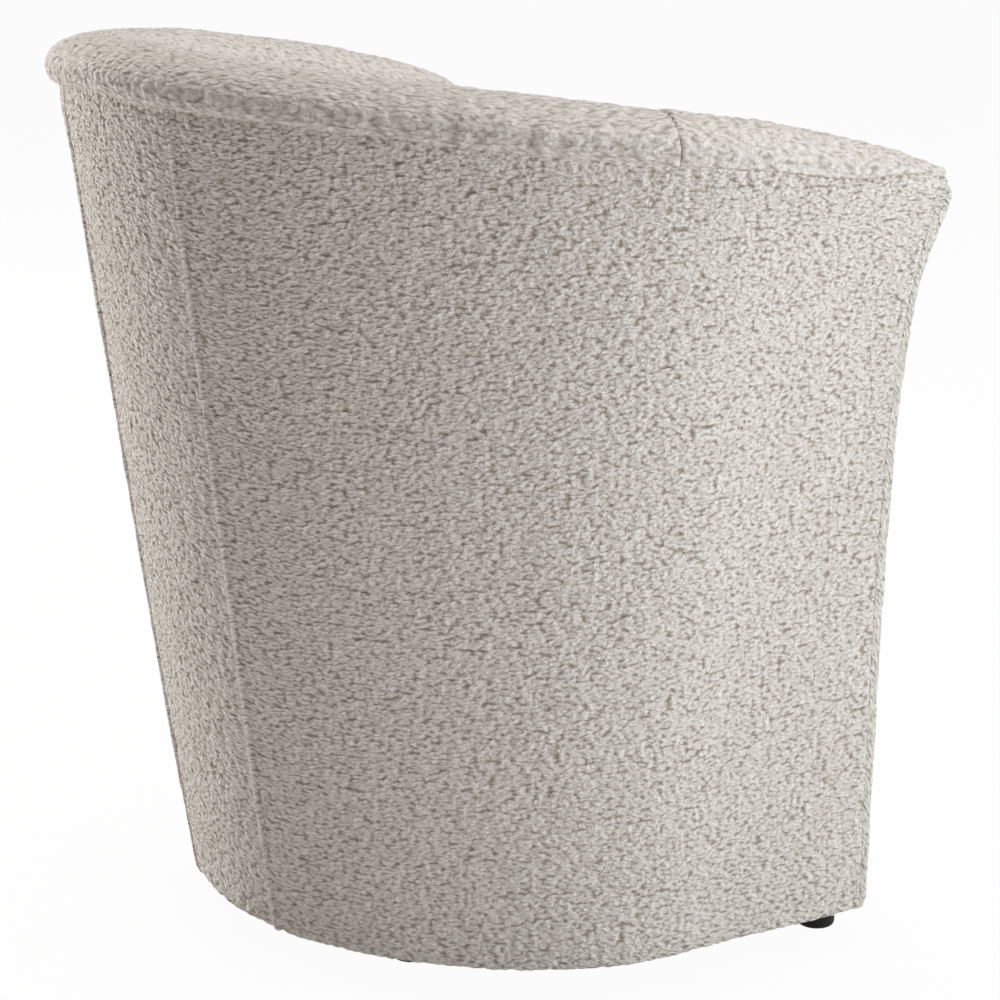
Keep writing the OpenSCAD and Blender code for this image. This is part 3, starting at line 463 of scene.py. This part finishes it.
print("outside covers")
rearSeam, crossSeam = shell["rearSeam"], shell["crossSeam"]
outsideBack = outsideCover("outsideBackCover", -rearSeam, rearSeam, 1, ("open", "ridge", "flush", "flush"))
outsideLeft = outsideCover("outsideArmCoverLeft", rearSeam, 2, 2, ("open", "ridge", "ridge", "flush"))
outsideRight = outsideCover("outsideArmCoverRight", -2, -rearSeam, 3, ("open", "ridge", "flush", "ridge"))

# The inside covers run from the rim seam over the roll and down to the deck
# The roll's low part is painted darker, a painted shade under its overhang.
inside = {"gap": 0.0023, "bottom": 0.278, "rollLength": 0.118, "wallLength": 0.36, "tuft": 1.3,
          "underShade": 0.55, "underTurn": 0.24, "puckers": (0.46, 0.555, 0.655), "cornerRun": 0.47,
          "puckerWidth": 0.0040, "puckerDepth": 0.0020, "puckerTurn": 0.7,
          "swellShare": 0.6, "swellAt": 0.008, "swellWidth": 0.005, "swellTurn": 0.3, "swellReach": 0.5}


def rollForm(u, angle):  # short folds where the cloth is drawn in at the seam
    form = np.zeros_like(angle * u)
    swellUp = bell((angle - inside["swellTurn"]) / inside["swellReach"])
    for place in inside["puckers"]:
        run = (np.abs(u) - place) * inside["cornerRun"]
        groove = bell(run / inside["puckerWidth"]) * bell(angle / inside["puckerTurn"])
        swell = bell((run - inside["swellAt"]) / inside["swellWidth"]) * swellUp
        form = form + inside["puckerDepth"] * (inside["swellShare"] * swell - groove)
    return form


def insideCover(name, start, end, salt, edges):
    fine = tuple(kind == "tuck" for kind in edges[2:])
    u = evenPlaces(start, end, inside["gap"], fine=fine)
    length = inside["rollLength"]
    turn = runPlaces(length, inside["gap"], True, False) / length * np.pi
    grid = [rollPoint(u, np.full_like(u, a)) for a in turn]
    wallRows = int(inside["wallLength"] / inside["gap"])
    for k in np.linspace(0, 1, wallRows)[1:]:
        t = 1 + (shareAt(u, inside["bottom"]) - 1) * k
        grid.append(wallPoint(u, t, wallThick(t)))
    points = np.stack(grid)
    angle = np.concatenate([turn, np.full(wallRows - 1, np.pi)])[:, None]
    form = rollForm(np.broadcast_to(u, points.shape[:2]), np.broadcast_to(angle, points.shape[:2]))
    under = inside["underTurn"]  # painted shade low on the roll, under its overhang
    paintedUnderShade = -inside["underShade"] * hangShare(u) * bell((angle - under) / under)
    return coverPiece(name, points, salt, form, tuft=inside["tuft"], edges=edges, shadeTone=paintedUnderShade)


print("inside covers")
insideBack = insideCover("insideBackCover", -crossSeam, crossSeam, 4, ("tuck", "open", "tuck", "tuck"))
insideLeft = insideCover("insideArmCoverLeft", crossSeam, 2, 5, ("tuck", "open", "tuck", "flush"))
insideRight = insideCover("insideArmCoverRight", -2, -crossSeam, 6, ("tuck", "open", "flush", "tuck"))

# The arm fronts: a face with rounded edges that ends in the rim's low roll
armFront = {"columns": 44, "gap": 0.0022, "height": 0.62, "edge": 0.0145, "topEdge": 0.029,
            "lowEdge": 0.006, "innerEdge": 0.026, "innerStart": 0.72, "innerRun": 0.2,
            "rollShare": 0.12, "crown": 0.0030, "crownPower": 0.7,
            "nose": 0.0100, "noseHeight": 0.584, "noseReach": 0.034}


def armFrontCover(name, hand, salt):
    rows = int(armFront["height"] / armFront["gap"])
    t = np.linspace(0, 1, rows)[:, None]
    a = np.linspace(0, np.pi, armFront["columns"])[None, :]
    across = (1 - np.cos(a)) / 2 * wallThick(t)
    u = np.full(across.shape, 2.0 * hand)
    points = wallPoint(u, np.broadcast_to(t, across.shape), across)
    rollShare = armFront["rollShare"]
    lift = ease((t - 1 + rollShare) / rollShare) * (rollTop(u) - shell["armRim"])
    points[..., 2] += lift * np.sin(a)
    top = points[-1:, :, 2]
    hem, toInside = outside["hemRound"], wallThick(t) - across
    side = np.clip(np.minimum(across, toInside) / hem, 0, 1)
    turned = hem * (1 - np.sqrt(1 - (1 - side) ** 2))
    points[..., 2] = np.maximum(points[..., 2], shell["floorGap"] + turned)
    height, r = points[..., 2], armFront["edge"]
    inner = r + (armFront["innerEdge"] - r) * ease((t - armFront["innerStart"]) / armFront["innerRun"])
    missSide = np.maximum(1 - across / r, 1 - toInside / inner)
    missTop = 1 - (top - height) / armFront["topEdge"]
    missLow = 1 - (height - shell["floorGap"]) / armFront["lowEdge"]
    miss = sum(np.clip(m, 0, 1) ** 2 for m in (missSide, missTop, missLow))
    crown = armFront["crown"] * np.sin(np.pi * t) ** armFront["crownPower"]
    crown = crown + armFront["nose"] * bell((height - armFront["noseHeight"]) / armFront["noseReach"])
    points[..., 1] -= (r + crown) * np.sqrt(np.clip(1 - miss, 0, 1))
    if hand < 0:
        points = points[:, ::-1]
    return coverPiece(name, points, salt, edges=("flush",) * 4)


print("arm fronts")
frontLeft = armFrontCover("armFrontCoverLeft", 1, 7)
frontRight = armFrontCover("armFrontCoverRight", -1, 8)

# The deck: cloth stretched over the seat's foam, sunk a little in the middle and
# drawn in small folds where it is tacked down along the walls
deck = {"places": 240, "rings": 30, "innerShare": 0.04, "sag": 0.0060, "sagStart": 0.09,
        "edgeRun": 0.035, "edgeDrop": 0.0012, "folds": 0.021, "foldDepth": 0.0006,
        "foldRun": 0.045, "foldStart": 0.01, "above": 0.0010, "levelMiss": 0.0001}


def solidPoints(name):
    solid = nodes[name]
    return np.array([solid.matrix_world @ corner.co for corner in solid.data.vertices])


def loopAt(points, count):  # a closed loop of evenly spaced points
    ring = np.concatenate([points, points[:1]])
    return lineAt(np.linspace(0, runOf(ring)[-1], count + 1)[:-1], ring)


def closedRings(name, rings, low, high):  # rings from the bottom's middle round to the top's
    count, last = len(rings[0]), (len(rings) - 1) * len(rings[0])
    points = np.concatenate([*rings, [low], [high]])
    bottomTip, topTip = len(points) - 2, len(points) - 1
    faces = []
    for k in range(len(rings) - 1):
        for i in range(count):
            j = (i + 1) % count
            faces.append([k * count + i, k * count + j, (k + 1) * count + j, (k + 1) * count + i])
    for i in range(count):
        j = (i + 1) % count
        faces.append([bottomTip, j, i])
        faces.append([topTip, last + i, last + j])
    return meshObject(name, points, faces, np.zeros(len(points)))


def deckPiece(name):
    solid = solidPoints("deck_cover")
    level = solid[:, 2].max()
    base = solidPoints("seat_springs")[:, 2].max() + deck["above"]
    rim = solid[solid[:, 2] > level - deck["levelMiss"]][:, :2]
    middle = (rim.min(0) + rim.max(0)) / 2
    turn = np.arctan2(rim[:, 1] - middle[1], rim[:, 0] - middle[0])
    loop = loopAt(rim[np.argsort(turn)], deck["places"])
    share = np.linspace(1, deck["innerShare"], deck["rings"])[:, None]
    way, run = loop - middle, runOf(loop)
    inward = (1 - share) * np.linalg.norm(way, axis=-1)
    folds = np.round(run[-1] / deck["folds"])
    fold = np.cos(2 * np.pi * folds * run / run[-1]) * bell(inward / deck["foldRun"])
    z = level - deck["sag"] * (1 - share ** 2) * ease(inward / deck["sagStart"])
    z = z - deck["edgeDrop"] * (1 - ease(inward / deck["edgeRun"]))
    z = z + deck["foldDepth"] * (fold - 1) * ease(inward / deck["foldStart"])
    tops = np.concatenate([middle + way * share[..., None], z[..., None]], -1)
    low = np.concatenate([loop, np.full((deck["places"], 1), base)], -1)
    return closedRings(name, [low, *tops], [*middle, base], [*middle, z[-1].mean()])


deckCover = deckPiece("deckCover")
print("deck made")


# The front border under the cushion, bowed a little and rounded at its corners
border = {"front": 0.211, "bow": 0.014, "corner": 0.036, "gap": 0.0015, "meshGap": 0.0026,
          "round": 0.006, "roundSteps": 7, "hemTurns": (0.016, 0.011), "topTurn": 0.012, "pull": 0.0006}
frontLine = {"cornerPlaces": 10, "middlePlaces": 41}


def frontOutline(half, sizes, inset=0.0):  # from the right wall round the front to the left one
    front, r, bow = sizes["front"] - inset, sizes["corner"] - inset, sizes["bow"]
    y = front - bow + shell["centreY"]
    backY = outsidePlan(np.array([2.0]), np.array([0.0]))[0, 1]
    a = np.linspace(0, np.pi / 2, frontLine["cornerPlaces"])
    corner = np.stack([r - half - r * np.cos(a), r - y - r * np.sin(a)], -1)
    s = np.linspace(1, -1, frontLine["middlePlaces"])[1:-1]
    middle = np.stack([(r - half) * s, -y - bow * (1 - s * s)], -1)
    return np.concatenate([[[-half, backY]], corner, middle, corner[::-1] * [-1, 1], [[half, backY]]])


def frontBorder(name, salt):
    deckShare = shareAt(np.array([2.0]), shell["deck"])
    half = wallPoint(np.array([2.0]), deckShare, wallThick(deckShare) + border["gap"])[0, 0]
    line = frontOutline(half, border)
    length = runOf(line)[-1]
    line = lineAt(np.linspace(0, length, int(length / border["meshGap"])), line)
    inward = np.gradient(line, axis=0)
    inward = np.stack([-inward[:, 1], inward[:, 0]], -1)
    inward /= np.linalg.norm(inward, axis=-1, keepdims=True)
    r, floor = border["round"], shell["floorGap"]
    low, high = floor + r, shell["deck"] - r
    quarter = np.linspace(0, np.pi / 2, border["roundSteps"])
    profile = [(turn, floor) for turn in border["hemTurns"]]
    profile += [(r - r * math.sin(a), low - r * math.cos(a)) for a in quarter[:-1]]
    profile += [(0, z) for z in np.linspace(low, high, int((high - low) / border["meshGap"]))]
    profile += [(r - r * math.cos(a), high + r * math.sin(a)) for a in quarter[1:]]
    profile.append((border["topTurn"], shell["deck"]))
    points = np.stack([np.concatenate([line + inward * d, np.full((len(line), 1), z)], -1)
                       for d, z in profile])
    return coverPiece(name, points, salt, -border["pull"], edges=("open", "open", "flush", "flush"))


print("front border")
borderCover = frontBorder("frontBorderCover", 9)

# The seat cushion: a crowned block that fills the space between the walls
cushion = {"gap": 0.0055, "base": 0.2885, "height": 0.132, "front": 0.2135, "corner": 0.036,
           "bow": 0.014, "edge": 0.010, "edgeIn": 0.3, "edgeUp": 0.6, "waist": 0.003,
           "waistPlaces": (0.35, 0.7), "lowShares": (0.25, 0.5, 0.75), "topShares": (0.8, 0.6, 0.4, 0.2),
           "crown": 0.020, "crownEdge": 0.2, "crownPower": 2.4, "places": 160,
           "wallEnd": 1.8, "wallGap": 0.012, "wallLevel": 0.6,
           "voxel": 0.0050, "pressure": 4.0, "stiffness": 15, "bending": 0.5, "frames": 20,
           "cap": 0.012, "sideCap": 0.0015, "seamWidth": 0.0028, "seamDepth": 0.0035,
           "lowSeam": 0.012, "highSeam": 0.128, "aroundRadius": 0.26,
           "topStart": 0.45, "topRun": 0.25, "seamFlatness": 0.8, "restHeight": 0.002}


def cushionLoop(z, inset):
    end = cushion["wallEnd"]
    u = evenPlaces(-end, end, cushion["wallGap"], cushion["wallLevel"])[::-1]
    t = shareAt(u, z)
    walls = wallPoint(u, t, wallThick(t) + cushion["gap"] + inset)[:, :2]
    return np.concatenate([walls, frontOutline(walls[0, 0], cushion, inset)])


def cushionBody(name):
    base, height, crown, edge = (cushion[key] for key in ("base", "height", "crown", "edge"))
    small, waist, crownEdge = edge * cushion["edgeIn"], cushion["waist"], cushion["crownEdge"]
    profile = [(edge, 0.0), (small, small), (0, edge)]
    profile += [(waist, height * place) for place in cushion["waistPlaces"]]
    profile += [(0, height - edge * cushion["edgeUp"]), (small, height), (edge, height + crown * crownEdge)]
    rings = []
    for inset, up in profile:
        loop = loopAt(cushionLoop(base + up, inset), cushion["places"])
        rings.append(np.concatenate([loop, np.full((len(loop), 1), base + up)], -1))
    low, top = rings[0], rings[-1]
    lowMiddle, middle = low.mean(0), top.mean(0)
    lows = [lowMiddle + (low - lowMiddle) * share for share in cushion["lowShares"]]
    tops = []
    for share in cushion["topShares"]:
        ring = middle + (top - middle) * share
        rising = crownEdge + (1 - crownEdge) * (1 - share ** cushion["crownPower"])
        ring[:, 2] = base + height + crown * rising
        tops.append(ring)
    return closedRings(name, lows + rings + tops, lowMiddle, [*middle[:2], base + height + crown])


def applyModifier(piece, made):
    bpy.ops.object.select_all(action="DESELECT")
    bpy.context.view_layer.objects.active = piece
    piece.select_set(True)
    bpy.ops.object.modifier_apply(modifier=made.name)


def meshArray(piece, kind):
    flat = np.empty(len(piece.data.vertices) * 3, np.float32)
    piece.data.vertices.foreach_get(kind, flat)
    return flat.reshape(-1, 3).astype(float)


def setPoints(piece, points):
    piece.data.vertices.foreach_set("co", points.astype(np.float32).ravel())
    piece.data.update()


def swellCushion(piece):
    start = meshArray(piece, "co")
    cloth = piece.modifiers.new("swell", "CLOTH")
    cloth.settings.use_pressure = True
    cloth.settings.uniform_pressure_force = cushion["pressure"]
    cloth.settings.effector_weights.gravity = 0
    cloth.settings.quality = 5
    cloth.settings.tension_stiffness = cushion["stiffness"]
    cloth.settings.compression_stiffness = cushion["stiffness"]
    cloth.settings.bending_stiffness = cushion["bending"]
    for f in range(1, cushion["frames"] + 1):
        bpy.context.scene.frame_set(f)
    moved = meshArray(piece.evaluated_get(bpy.context.evaluated_depsgraph_get()), "co") - start
    piece.modifiers.remove(cloth)
    bpy.context.scene.frame_set(1)
    reach = np.linalg.norm(moved, axis=-1, keepdims=True)
    moved = moved / np.maximum(reach, 1e-9) * cushion["cap"] * np.tanh(reach / cushion["cap"])
    side = np.linalg.norm(moved[:, :2], axis=-1, keepdims=True)
    moved[:, :2] *= np.minimum(1, cushion["sideCap"] / np.maximum(side, 1e-9))
    setPoints(piece, start + moved)


def finishCushion(piece, salt):
    remesh = piece.modifiers.new("remesh", "REMESH")
    remesh.mode = "VOXEL"
    remesh.voxel_size = cushion["voxel"]
    applyModifier(piece, remesh)
    swellCushion(piece)
    fine = piece.modifiers.new("fine", "SUBSURF")
    fine.levels = 1
    fine.render_levels = 1
    applyModifier(piece, fine)
    points, normals = meshArray(piece, "co"), meshArray(piece, "normal")
    base, flatness, centre = cushion["base"], np.abs(normals[:, 2]), points.mean(0)
    around = cushion["aroundRadius"] * np.arctan2(points[:, 0] - centre[0], centre[1] - points[:, 1])
    onTop = ease((flatness - cushion["topStart"]) / cushion["topRun"])
    side = clumpsOfPile(around, points[:, 2], salt)
    flat = clumpsOfPile(points[:, 0], points[:, 1], salt + 3)
    clumps = side * (1 - onTop) + flat * onTop
    levels = [base + cushion[key] for key in ("highSeam", "lowSeam")]
    seam = np.minimum(*(np.abs(points[:, 2] - level) for level in levels))
    seam = bell(seam / cushion["seamWidth"]) * (flatness < cushion["seamFlatness"])
    rise = pile["depth"] * (clumps - pile["meanHeight"]) - cushion["seamDepth"] * seam
    lowest = points[:, 2] < base + cushion["restHeight"]
    rise[lowest] = np.minimum(rise[lowest], 0)
    points = points + normals * rise[:, None]
    points[:, 2] = np.maximum(points[:, 2], base)
    setPoints(piece, points)
    # Painted shade: the colour follows the pile's height, darker low between clumps and darkest in the seam
    # grooves.
    tone = piece.data.attributes.get("pileHeightAndShade")
    tone = tone or piece.data.attributes.new("pileHeightAndShade", "FLOAT", "POINT")
    tone.data.foreach_set("value", (clumps * (1 - seam)).astype(np.float32))
    sideWays = np.stack([around, points[:, 2]], -1)
    spreadWays(piece.data, np.where(onTop[:, None] > 0.5, points[:, :2], sideWays))
    piece.data.polygons.foreach_set("use_smooth", [True] * len(piece.data.polygons))


print("seat cushion")
seatCushion = cushionBody("seatCushion")
finishCushion(seatCushion, 10)

print("materials")


def linear(code, alpha=1.0):
    parts = [int(code[i:i + 2], 16) / 255 for i in (1, 3, 5)]
    return [c / 12.92 if c <= 0.04045 else ((c + 0.055) / 1.055) ** 2.4 for c in parts] + [alpha]


def addNode(tree, kind, sockets=None, wires=None, **settings):
    made = tree.nodes.new(kind)
    for key, value in settings.items():
        setattr(made, key, value)
    for key, value in (sockets or {}).items():
        made.inputs[key].default_value = value
    for key, source in (wires or {}).items():
        tree.links.new(source, made.inputs[key])
    return made


def newMaterial(name):
    made = bpy.data.materials.new(name)
    made.use_nodes = True
    made.node_tree.nodes.clear()
    return made, made.node_tree


def ramp(tree, source, stops):
    made = addNode(tree, "ShaderNodeValToRGB", wires={"Fac": source})
    elements = made.color_ramp.elements
    while len(elements) < len(stops):
        elements.new(0.5)
    for element, (at, shade) in zip(elements, stops):
        element.position = at
        element.color = linear(shade)
    return made.outputs["Color"]


def finishSurface(tree, shade, rough, bump=None, **sockets):
    surface = addNode(tree, "ShaderNodeBsdfPrincipled", sockets={"Roughness": rough, **sockets})
    tree.links.new(shade, surface.inputs["Base Color"])
    if bump:
        tree.links.new(bump, surface.inputs["Normal"])
    addNode(tree, "ShaderNodeOutputMaterial", wires={"Surface": surface.outputs["BSDF"]})


# The pile's loops are about 4.2 mm long and lie in rows 2.4 mm apart, which wander by
# a few millimetres. Single yarns are too fine to show, so a loop is the least form.
weave = {"loop": 0.0042, "row": 0.0024, "driftScale": 110.0, "drift": (0.0035, 0.0016, 0),
         "gapScale": 0.8, "gapPower": 2.0, "gapDepth": -0.54, "clumpShare": 0.22,
         "stops": (0.18, 0.36, 0.62, 0.96), "rough": 0.95,
         "sockets": {"Sheen Weight": 0.2, "Sheen Roughness": 0.5, "Specular IOR Level": 0.12}}


def pileFabric(name, shades, size, relief):
    made, tree = newMaterial(name)
    way = addNode(tree, "ShaderNodeUVMap", uv_map="clothWay").outputs["UV"]
    clumps = addNode(tree, "ShaderNodeAttribute", attribute_name="pileHeightAndShade").outputs["Fac"]
    drift = addNode(tree, "ShaderNodeTexNoise", {"Scale": weave["driftScale"], "Detail": 2.0},
                    {"Vector": way})
    drift = addNode(tree, "ShaderNodeVectorMath", {1: (0.5, 0.5, 0.5)}, {0: drift.outputs["Color"]},
                    operation="SUBTRACT")
    drift = addNode(tree, "ShaderNodeVectorMath", {1: weave["drift"]}, {0: drift.outputs[0]},
                    operation="MULTIPLY")
    bent = addNode(tree, "ShaderNodeVectorMath", wires={0: way, 1: drift.outputs[0]}, operation="ADD")
    perMetre = (1 / weave["loop"] / size, 1 / weave["row"] / size, 1)
    rows = addNode(tree, "ShaderNodeVectorMath", {1: perMetre}, {0: bent.outputs[0]}, operation="MULTIPLY")
    loops = addNode(tree, "ShaderNodeTexNoise", {"Scale": 1.0, "Detail": 1.0, "Roughness": 0.5},
                    {"Vector": rows.outputs[0]})
    gaps = addNode(tree, "ShaderNodeTexVoronoi", {"Scale": weave["gapScale"], "Randomness": 1.0},
                   {"Vector": rows.outputs[0]}, voronoi_dimensions="2D")
    gaps = addNode(tree, "ShaderNodeMath", {1: weave["gapPower"]}, {0: gaps.outputs["Distance"]},
                   operation="POWER")
    height = addNode(tree, "ShaderNodeMath", {1: weave["gapDepth"]},
                     {0: gaps.outputs[0], 2: loops.outputs["Fac"]}, operation="MULTIPLY_ADD")
    mixed = addNode(tree, "ShaderNodeMath", {1: weave["clumpShare"]}, {0: clumps, 2: height.outputs[0]},
                    operation="MULTIPLY_ADD")
    # Painted shade: the colour ramp darkens where the height is low, in the gaps between loops and between
    # clumps.
    shade = ramp(tree, mixed.outputs[0], list(zip(weave["stops"], shades)))
    bump = addNode(tree, "ShaderNodeBump", {"Strength": 1.0, "Distance": relief},
                   {"Height": height.outputs[0]})
    finishSurface(tree, shade, weave["rough"], bump.outputs["Normal"], **weave["sockets"])
    return made


grain = {"detail": 5.0, "roughness": 0.6, "stops": (0.3, 0.7), "strength": 0.4, "depth": 0.0002}


def plainGrain(name, dark, light, stretch, scale, rough, **sockets):
    made, tree = newMaterial(name)
    place = addNode(tree, "ShaderNodeTexCoord").outputs["Object"]
    mapped = addNode(tree, "ShaderNodeMapping", {"Scale": stretch}, {"Vector": place})
    noise = addNode(tree, "ShaderNodeTexNoise",
                    {"Scale": scale, "Detail": grain["detail"], "Roughness": grain["roughness"]},
                    {"Vector": mapped.outputs["Vector"]})
    shade = ramp(tree, noise.outputs["Fac"], list(zip(grain["stops"], (dark, light))))
    bump = addNode(tree, "ShaderNodeBump", {"Strength": grain["strength"], "Distance": grain["depth"]},
                   {"Height": noise.outputs["Fac"]})
    finishSurface(tree, shade, rough, bump.outputs["Normal"], **sockets)
    return made


# The grain's scale counts its specks along a metre
even, plies = (1, 1, 1), (1, 1, 14)
# Teddy cloth, a looped polyester pile: matt and ivory. Its grey-brown shades are painted shade down between
# its loops.
ivoryPile = pileFabric("ivoryPile", ("#aea497", "#d2ccc3", "#e6e2dc", "#f7f4ef"), 1.0, 0.0032)
# The same cloth on the rim and inside: longer and softer, with lighter painted shade between its loops, as
# these faces are lit from the front
lightShadedPile = pileFabric("lightShadedPile", ("#c0b9af", "#d6d1ca", "#e4e0da", "#f5f2ee"), 1.25, 0.0026)
# Birch plywood, sawn: yellow-brown, with plies of about 1.2 mm along its edges
birchPlywood = plainGrain("birchPlywood", "#b58f5e", "#d8b98a", plies, 60, 0.6)
# Pressed fibreboard: dull brown, with fibres about 2 mm long
brownFibreboard = plainGrain("brownFibreboard", "#6d5238", "#8a6c4c", even, 500, 0.8)
# Tempered spring wire: dark grey with a dull shine. Its drawing marks are too fine to
# show and are drawn as specks of about 3 mm.
springSteel = plainGrain("springSteel", "#4a4b4d", "#6a6b6d", even, 300, 0.38, Metallic=0.9)
# Zinc-plated steel: pale grey metal, a little cloudy in patches of about 4 mm
zincSteel = plainGrain("zincSteel", "#9a9c9e", "#b9bbbd", even, 240, 0.35, Metallic=1.0)
# Plain woven cotton over the deck: matt beige. Its threads are 0.4 mm apart and are
# drawn at twice that to show.
deckCloth = plainGrain("deckCloth", "#cfc8bc", "#ddd7cc", even, 1200, 0.9)
# Black spun cloth under the chair: matt, with its bonded dots about 1 mm apart
dustCloth = plainGrain("dustCloth", "#161616", "#242424", even, 900, 0.95)
# Moulded black plastic feet: satin, hardly shining. The mould's grit is too fine to
# show and is drawn as specks of about 1.4 mm.
footPlastic = plainGrain("footPlastic", "#08080a", "#0f0f12", even, 700, 0.6,
                         **{"Specular IOR Level": 0.2})

finishes = {
    birchPlywood: ["base_frame", "seat_frame", "front_apron", "rib_back", "rib_back_left",
                   "rib_back_right", "rib_side_left", "rib_side_right", "rib_arm_left",
                   "rib_arm_right", "arm_front_board_left", "arm_front_board_right",
                   "top_rail", "ledger_blocks"],
    brownFibreboard: ["outer_board_back", "outer_board_left", "outer_board_right",
                      "inner_board_back", "inner_board_left", "inner_board_right"],
    springSteel: ["seat_springs"],
    zincSteel: ["spring_clips", "foot_screws"],
    dustCloth: ["dust_cover"],
    footPlastic: ["foot_front_left", "foot_front_right", "foot_rear_left", "foot_rear_right"],
}
for finish, names in finishes.items():
    for name in names:
        data = nodes[name].data
        data.materials.clear()
        data.materials.append(finish)

fixedCovers = {
    outsideBack: ["outside_back_cover"],
    outsideLeft: ["outside_arm_cover_left"],
    outsideRight: ["outside_arm_cover_right"],
    insideBack: ["inside_back_cover", "inside_back_padding", "rim_padding"],
    insideLeft: ["inside_arm_cover_left", "inside_arm_padding_left"],
    insideRight: ["inside_arm_cover_right", "inside_arm_padding_right"],
    frontLeft: ["arm_front_cover_left", "arm_front_padding_left"],
    frontRight: ["arm_front_cover_right", "arm_front_padding_right"],
    borderCover: ["front_border_cover", "front_padding"],
}
lightShadedCovers = (insideBack, insideLeft, insideRight)
for piece, names in fixedCovers.items():
    piece.data.materials.append(lightShadedPile if piece in lightShadedCovers else ivoryPile)
    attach(piece, "chair")
    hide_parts(*names)

deckCover.data.materials.append(deckCloth)
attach(deckCover, "chair")
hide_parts("deck_cover", "seat_padding")

seatCushion.data.materials.clear()
seatCushion.data.materials.append(ivoryPile)
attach(seatCushion, "cushion")
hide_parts("cushion_top_panel", "cushion_boxing", "cushion_bottom_panel", "cushion_foam")

print("stage")
stage = {"size": 44.0, "floorTone": "#f4f4f4", "seenShare": 0.96, "worldTone": 0.15,
         "worldTint": "#fff3e4", "lampTint": "#f8fbff", "warmTint": "#fdfaf7"}


def seenRays(tree):  # 1 for what the camera sees, also in a mirror or through glass
    path = addNode(tree, "ShaderNodeLightPath").outputs
    seen = addNode(tree, "ShaderNodeMath", wires={0: path["Is Camera Ray"], 1: path["Is Glossy Ray"]},
                   operation="MAXIMUM")
    seen = addNode(tree, "ShaderNodeMath", wires={0: seen.outputs[0], 1: path["Is Transmission Ray"]},
                   operation="MAXIMUM")
    return seen.outputs[0]


def mixedShaders(tree, share, first, second):
    wires = {0: share, 1: first.outputs[0], 2: second.outputs[0]}
    return addNode(tree, "ShaderNodeMixShader", wires=wires).outputs[0]


def stageFloor():
    bpy.ops.object.select_all(action="DESELECT")
    bpy.ops.mesh.primitive_plane_add(size=stage["size"], location=(0, 0, 0))
    floor = bpy.context.object
    floor.name = "studioFloor"
    made, tree = newMaterial("whiteFloor")
    diffuse = addNode(tree, "ShaderNodeBsdfDiffuse", {"Color": linear(stage["floorTone"])})
    white = addNode(tree, "ShaderNodeEmission", {"Color": (1, 1, 1, 1), "Strength": 1.0})
    share = addNode(tree, "ShaderNodeMath", {1: stage["seenShare"]}, {0: seenRays(tree)},
                    operation="MULTIPLY")
    surface = mixedShaders(tree, share.outputs[0], diffuse, white)
    addNode(tree, "ShaderNodeOutputMaterial", wires={"Surface": surface})
    floor.data.materials.append(made)


def studioWorld():
    world = bpy.data.worlds.new("studioWorld")
    bpy.context.scene.world = world
    world.use_nodes = True
    tree = world.node_tree
    tree.nodes.clear()
    soft = addNode(tree, "ShaderNodeBackground",
                   {"Color": linear(stage["worldTint"]), "Strength": stage["worldTone"]})
    white = addNode(tree, "ShaderNodeBackground", {"Color": (1, 1, 1, 1), "Strength": 1.0})
    surface = mixedShaders(tree, seenRays(tree), soft, white)
    addNode(tree, "ShaderNodeOutputWorld", wires={"Surface": surface})


def softLamp(name, place, target, size, power, tint=stage["lampTint"]):
    data = bpy.data.lights.new(name, "AREA")
    data.shape = "RECTANGLE"
    data.size, data.size_y = size
    data.energy = power
    data.color = linear(tint)[:3]
    lamp = bpy.data.objects.new(name, data)
    bpy.context.scene.collection.objects.link(lamp)
    lamp.location = place
    lamp.rotation_euler = (Vector(target) - Vector(place)).to_track_quat("-Z", "Y").to_euler()


# Soft light from above and from the picture's left, with a weaker fill from its right
stageFloor()
studioWorld()
softLamp("frontRightLamp", (-2.2, -2.3, 1.0), (0, 0, 0.3), (1.4, 1.4), 37)
softLamp("rightLamp", (-2.6, -0.6, 0.9), (0, 0, 0.3), (1.4, 1.4), 22.5)
softLamp("farLeftLamp", (3.0, 1.42, 0.8), (0, 0, 0.3), (0.9, 1.6), 92, stage["warmTint"])
softLamp("topLamp", (0.3, -0.3, 5.0), (0, 0, 0.4), (3.0, 3.0), 134, stage["warmTint"])
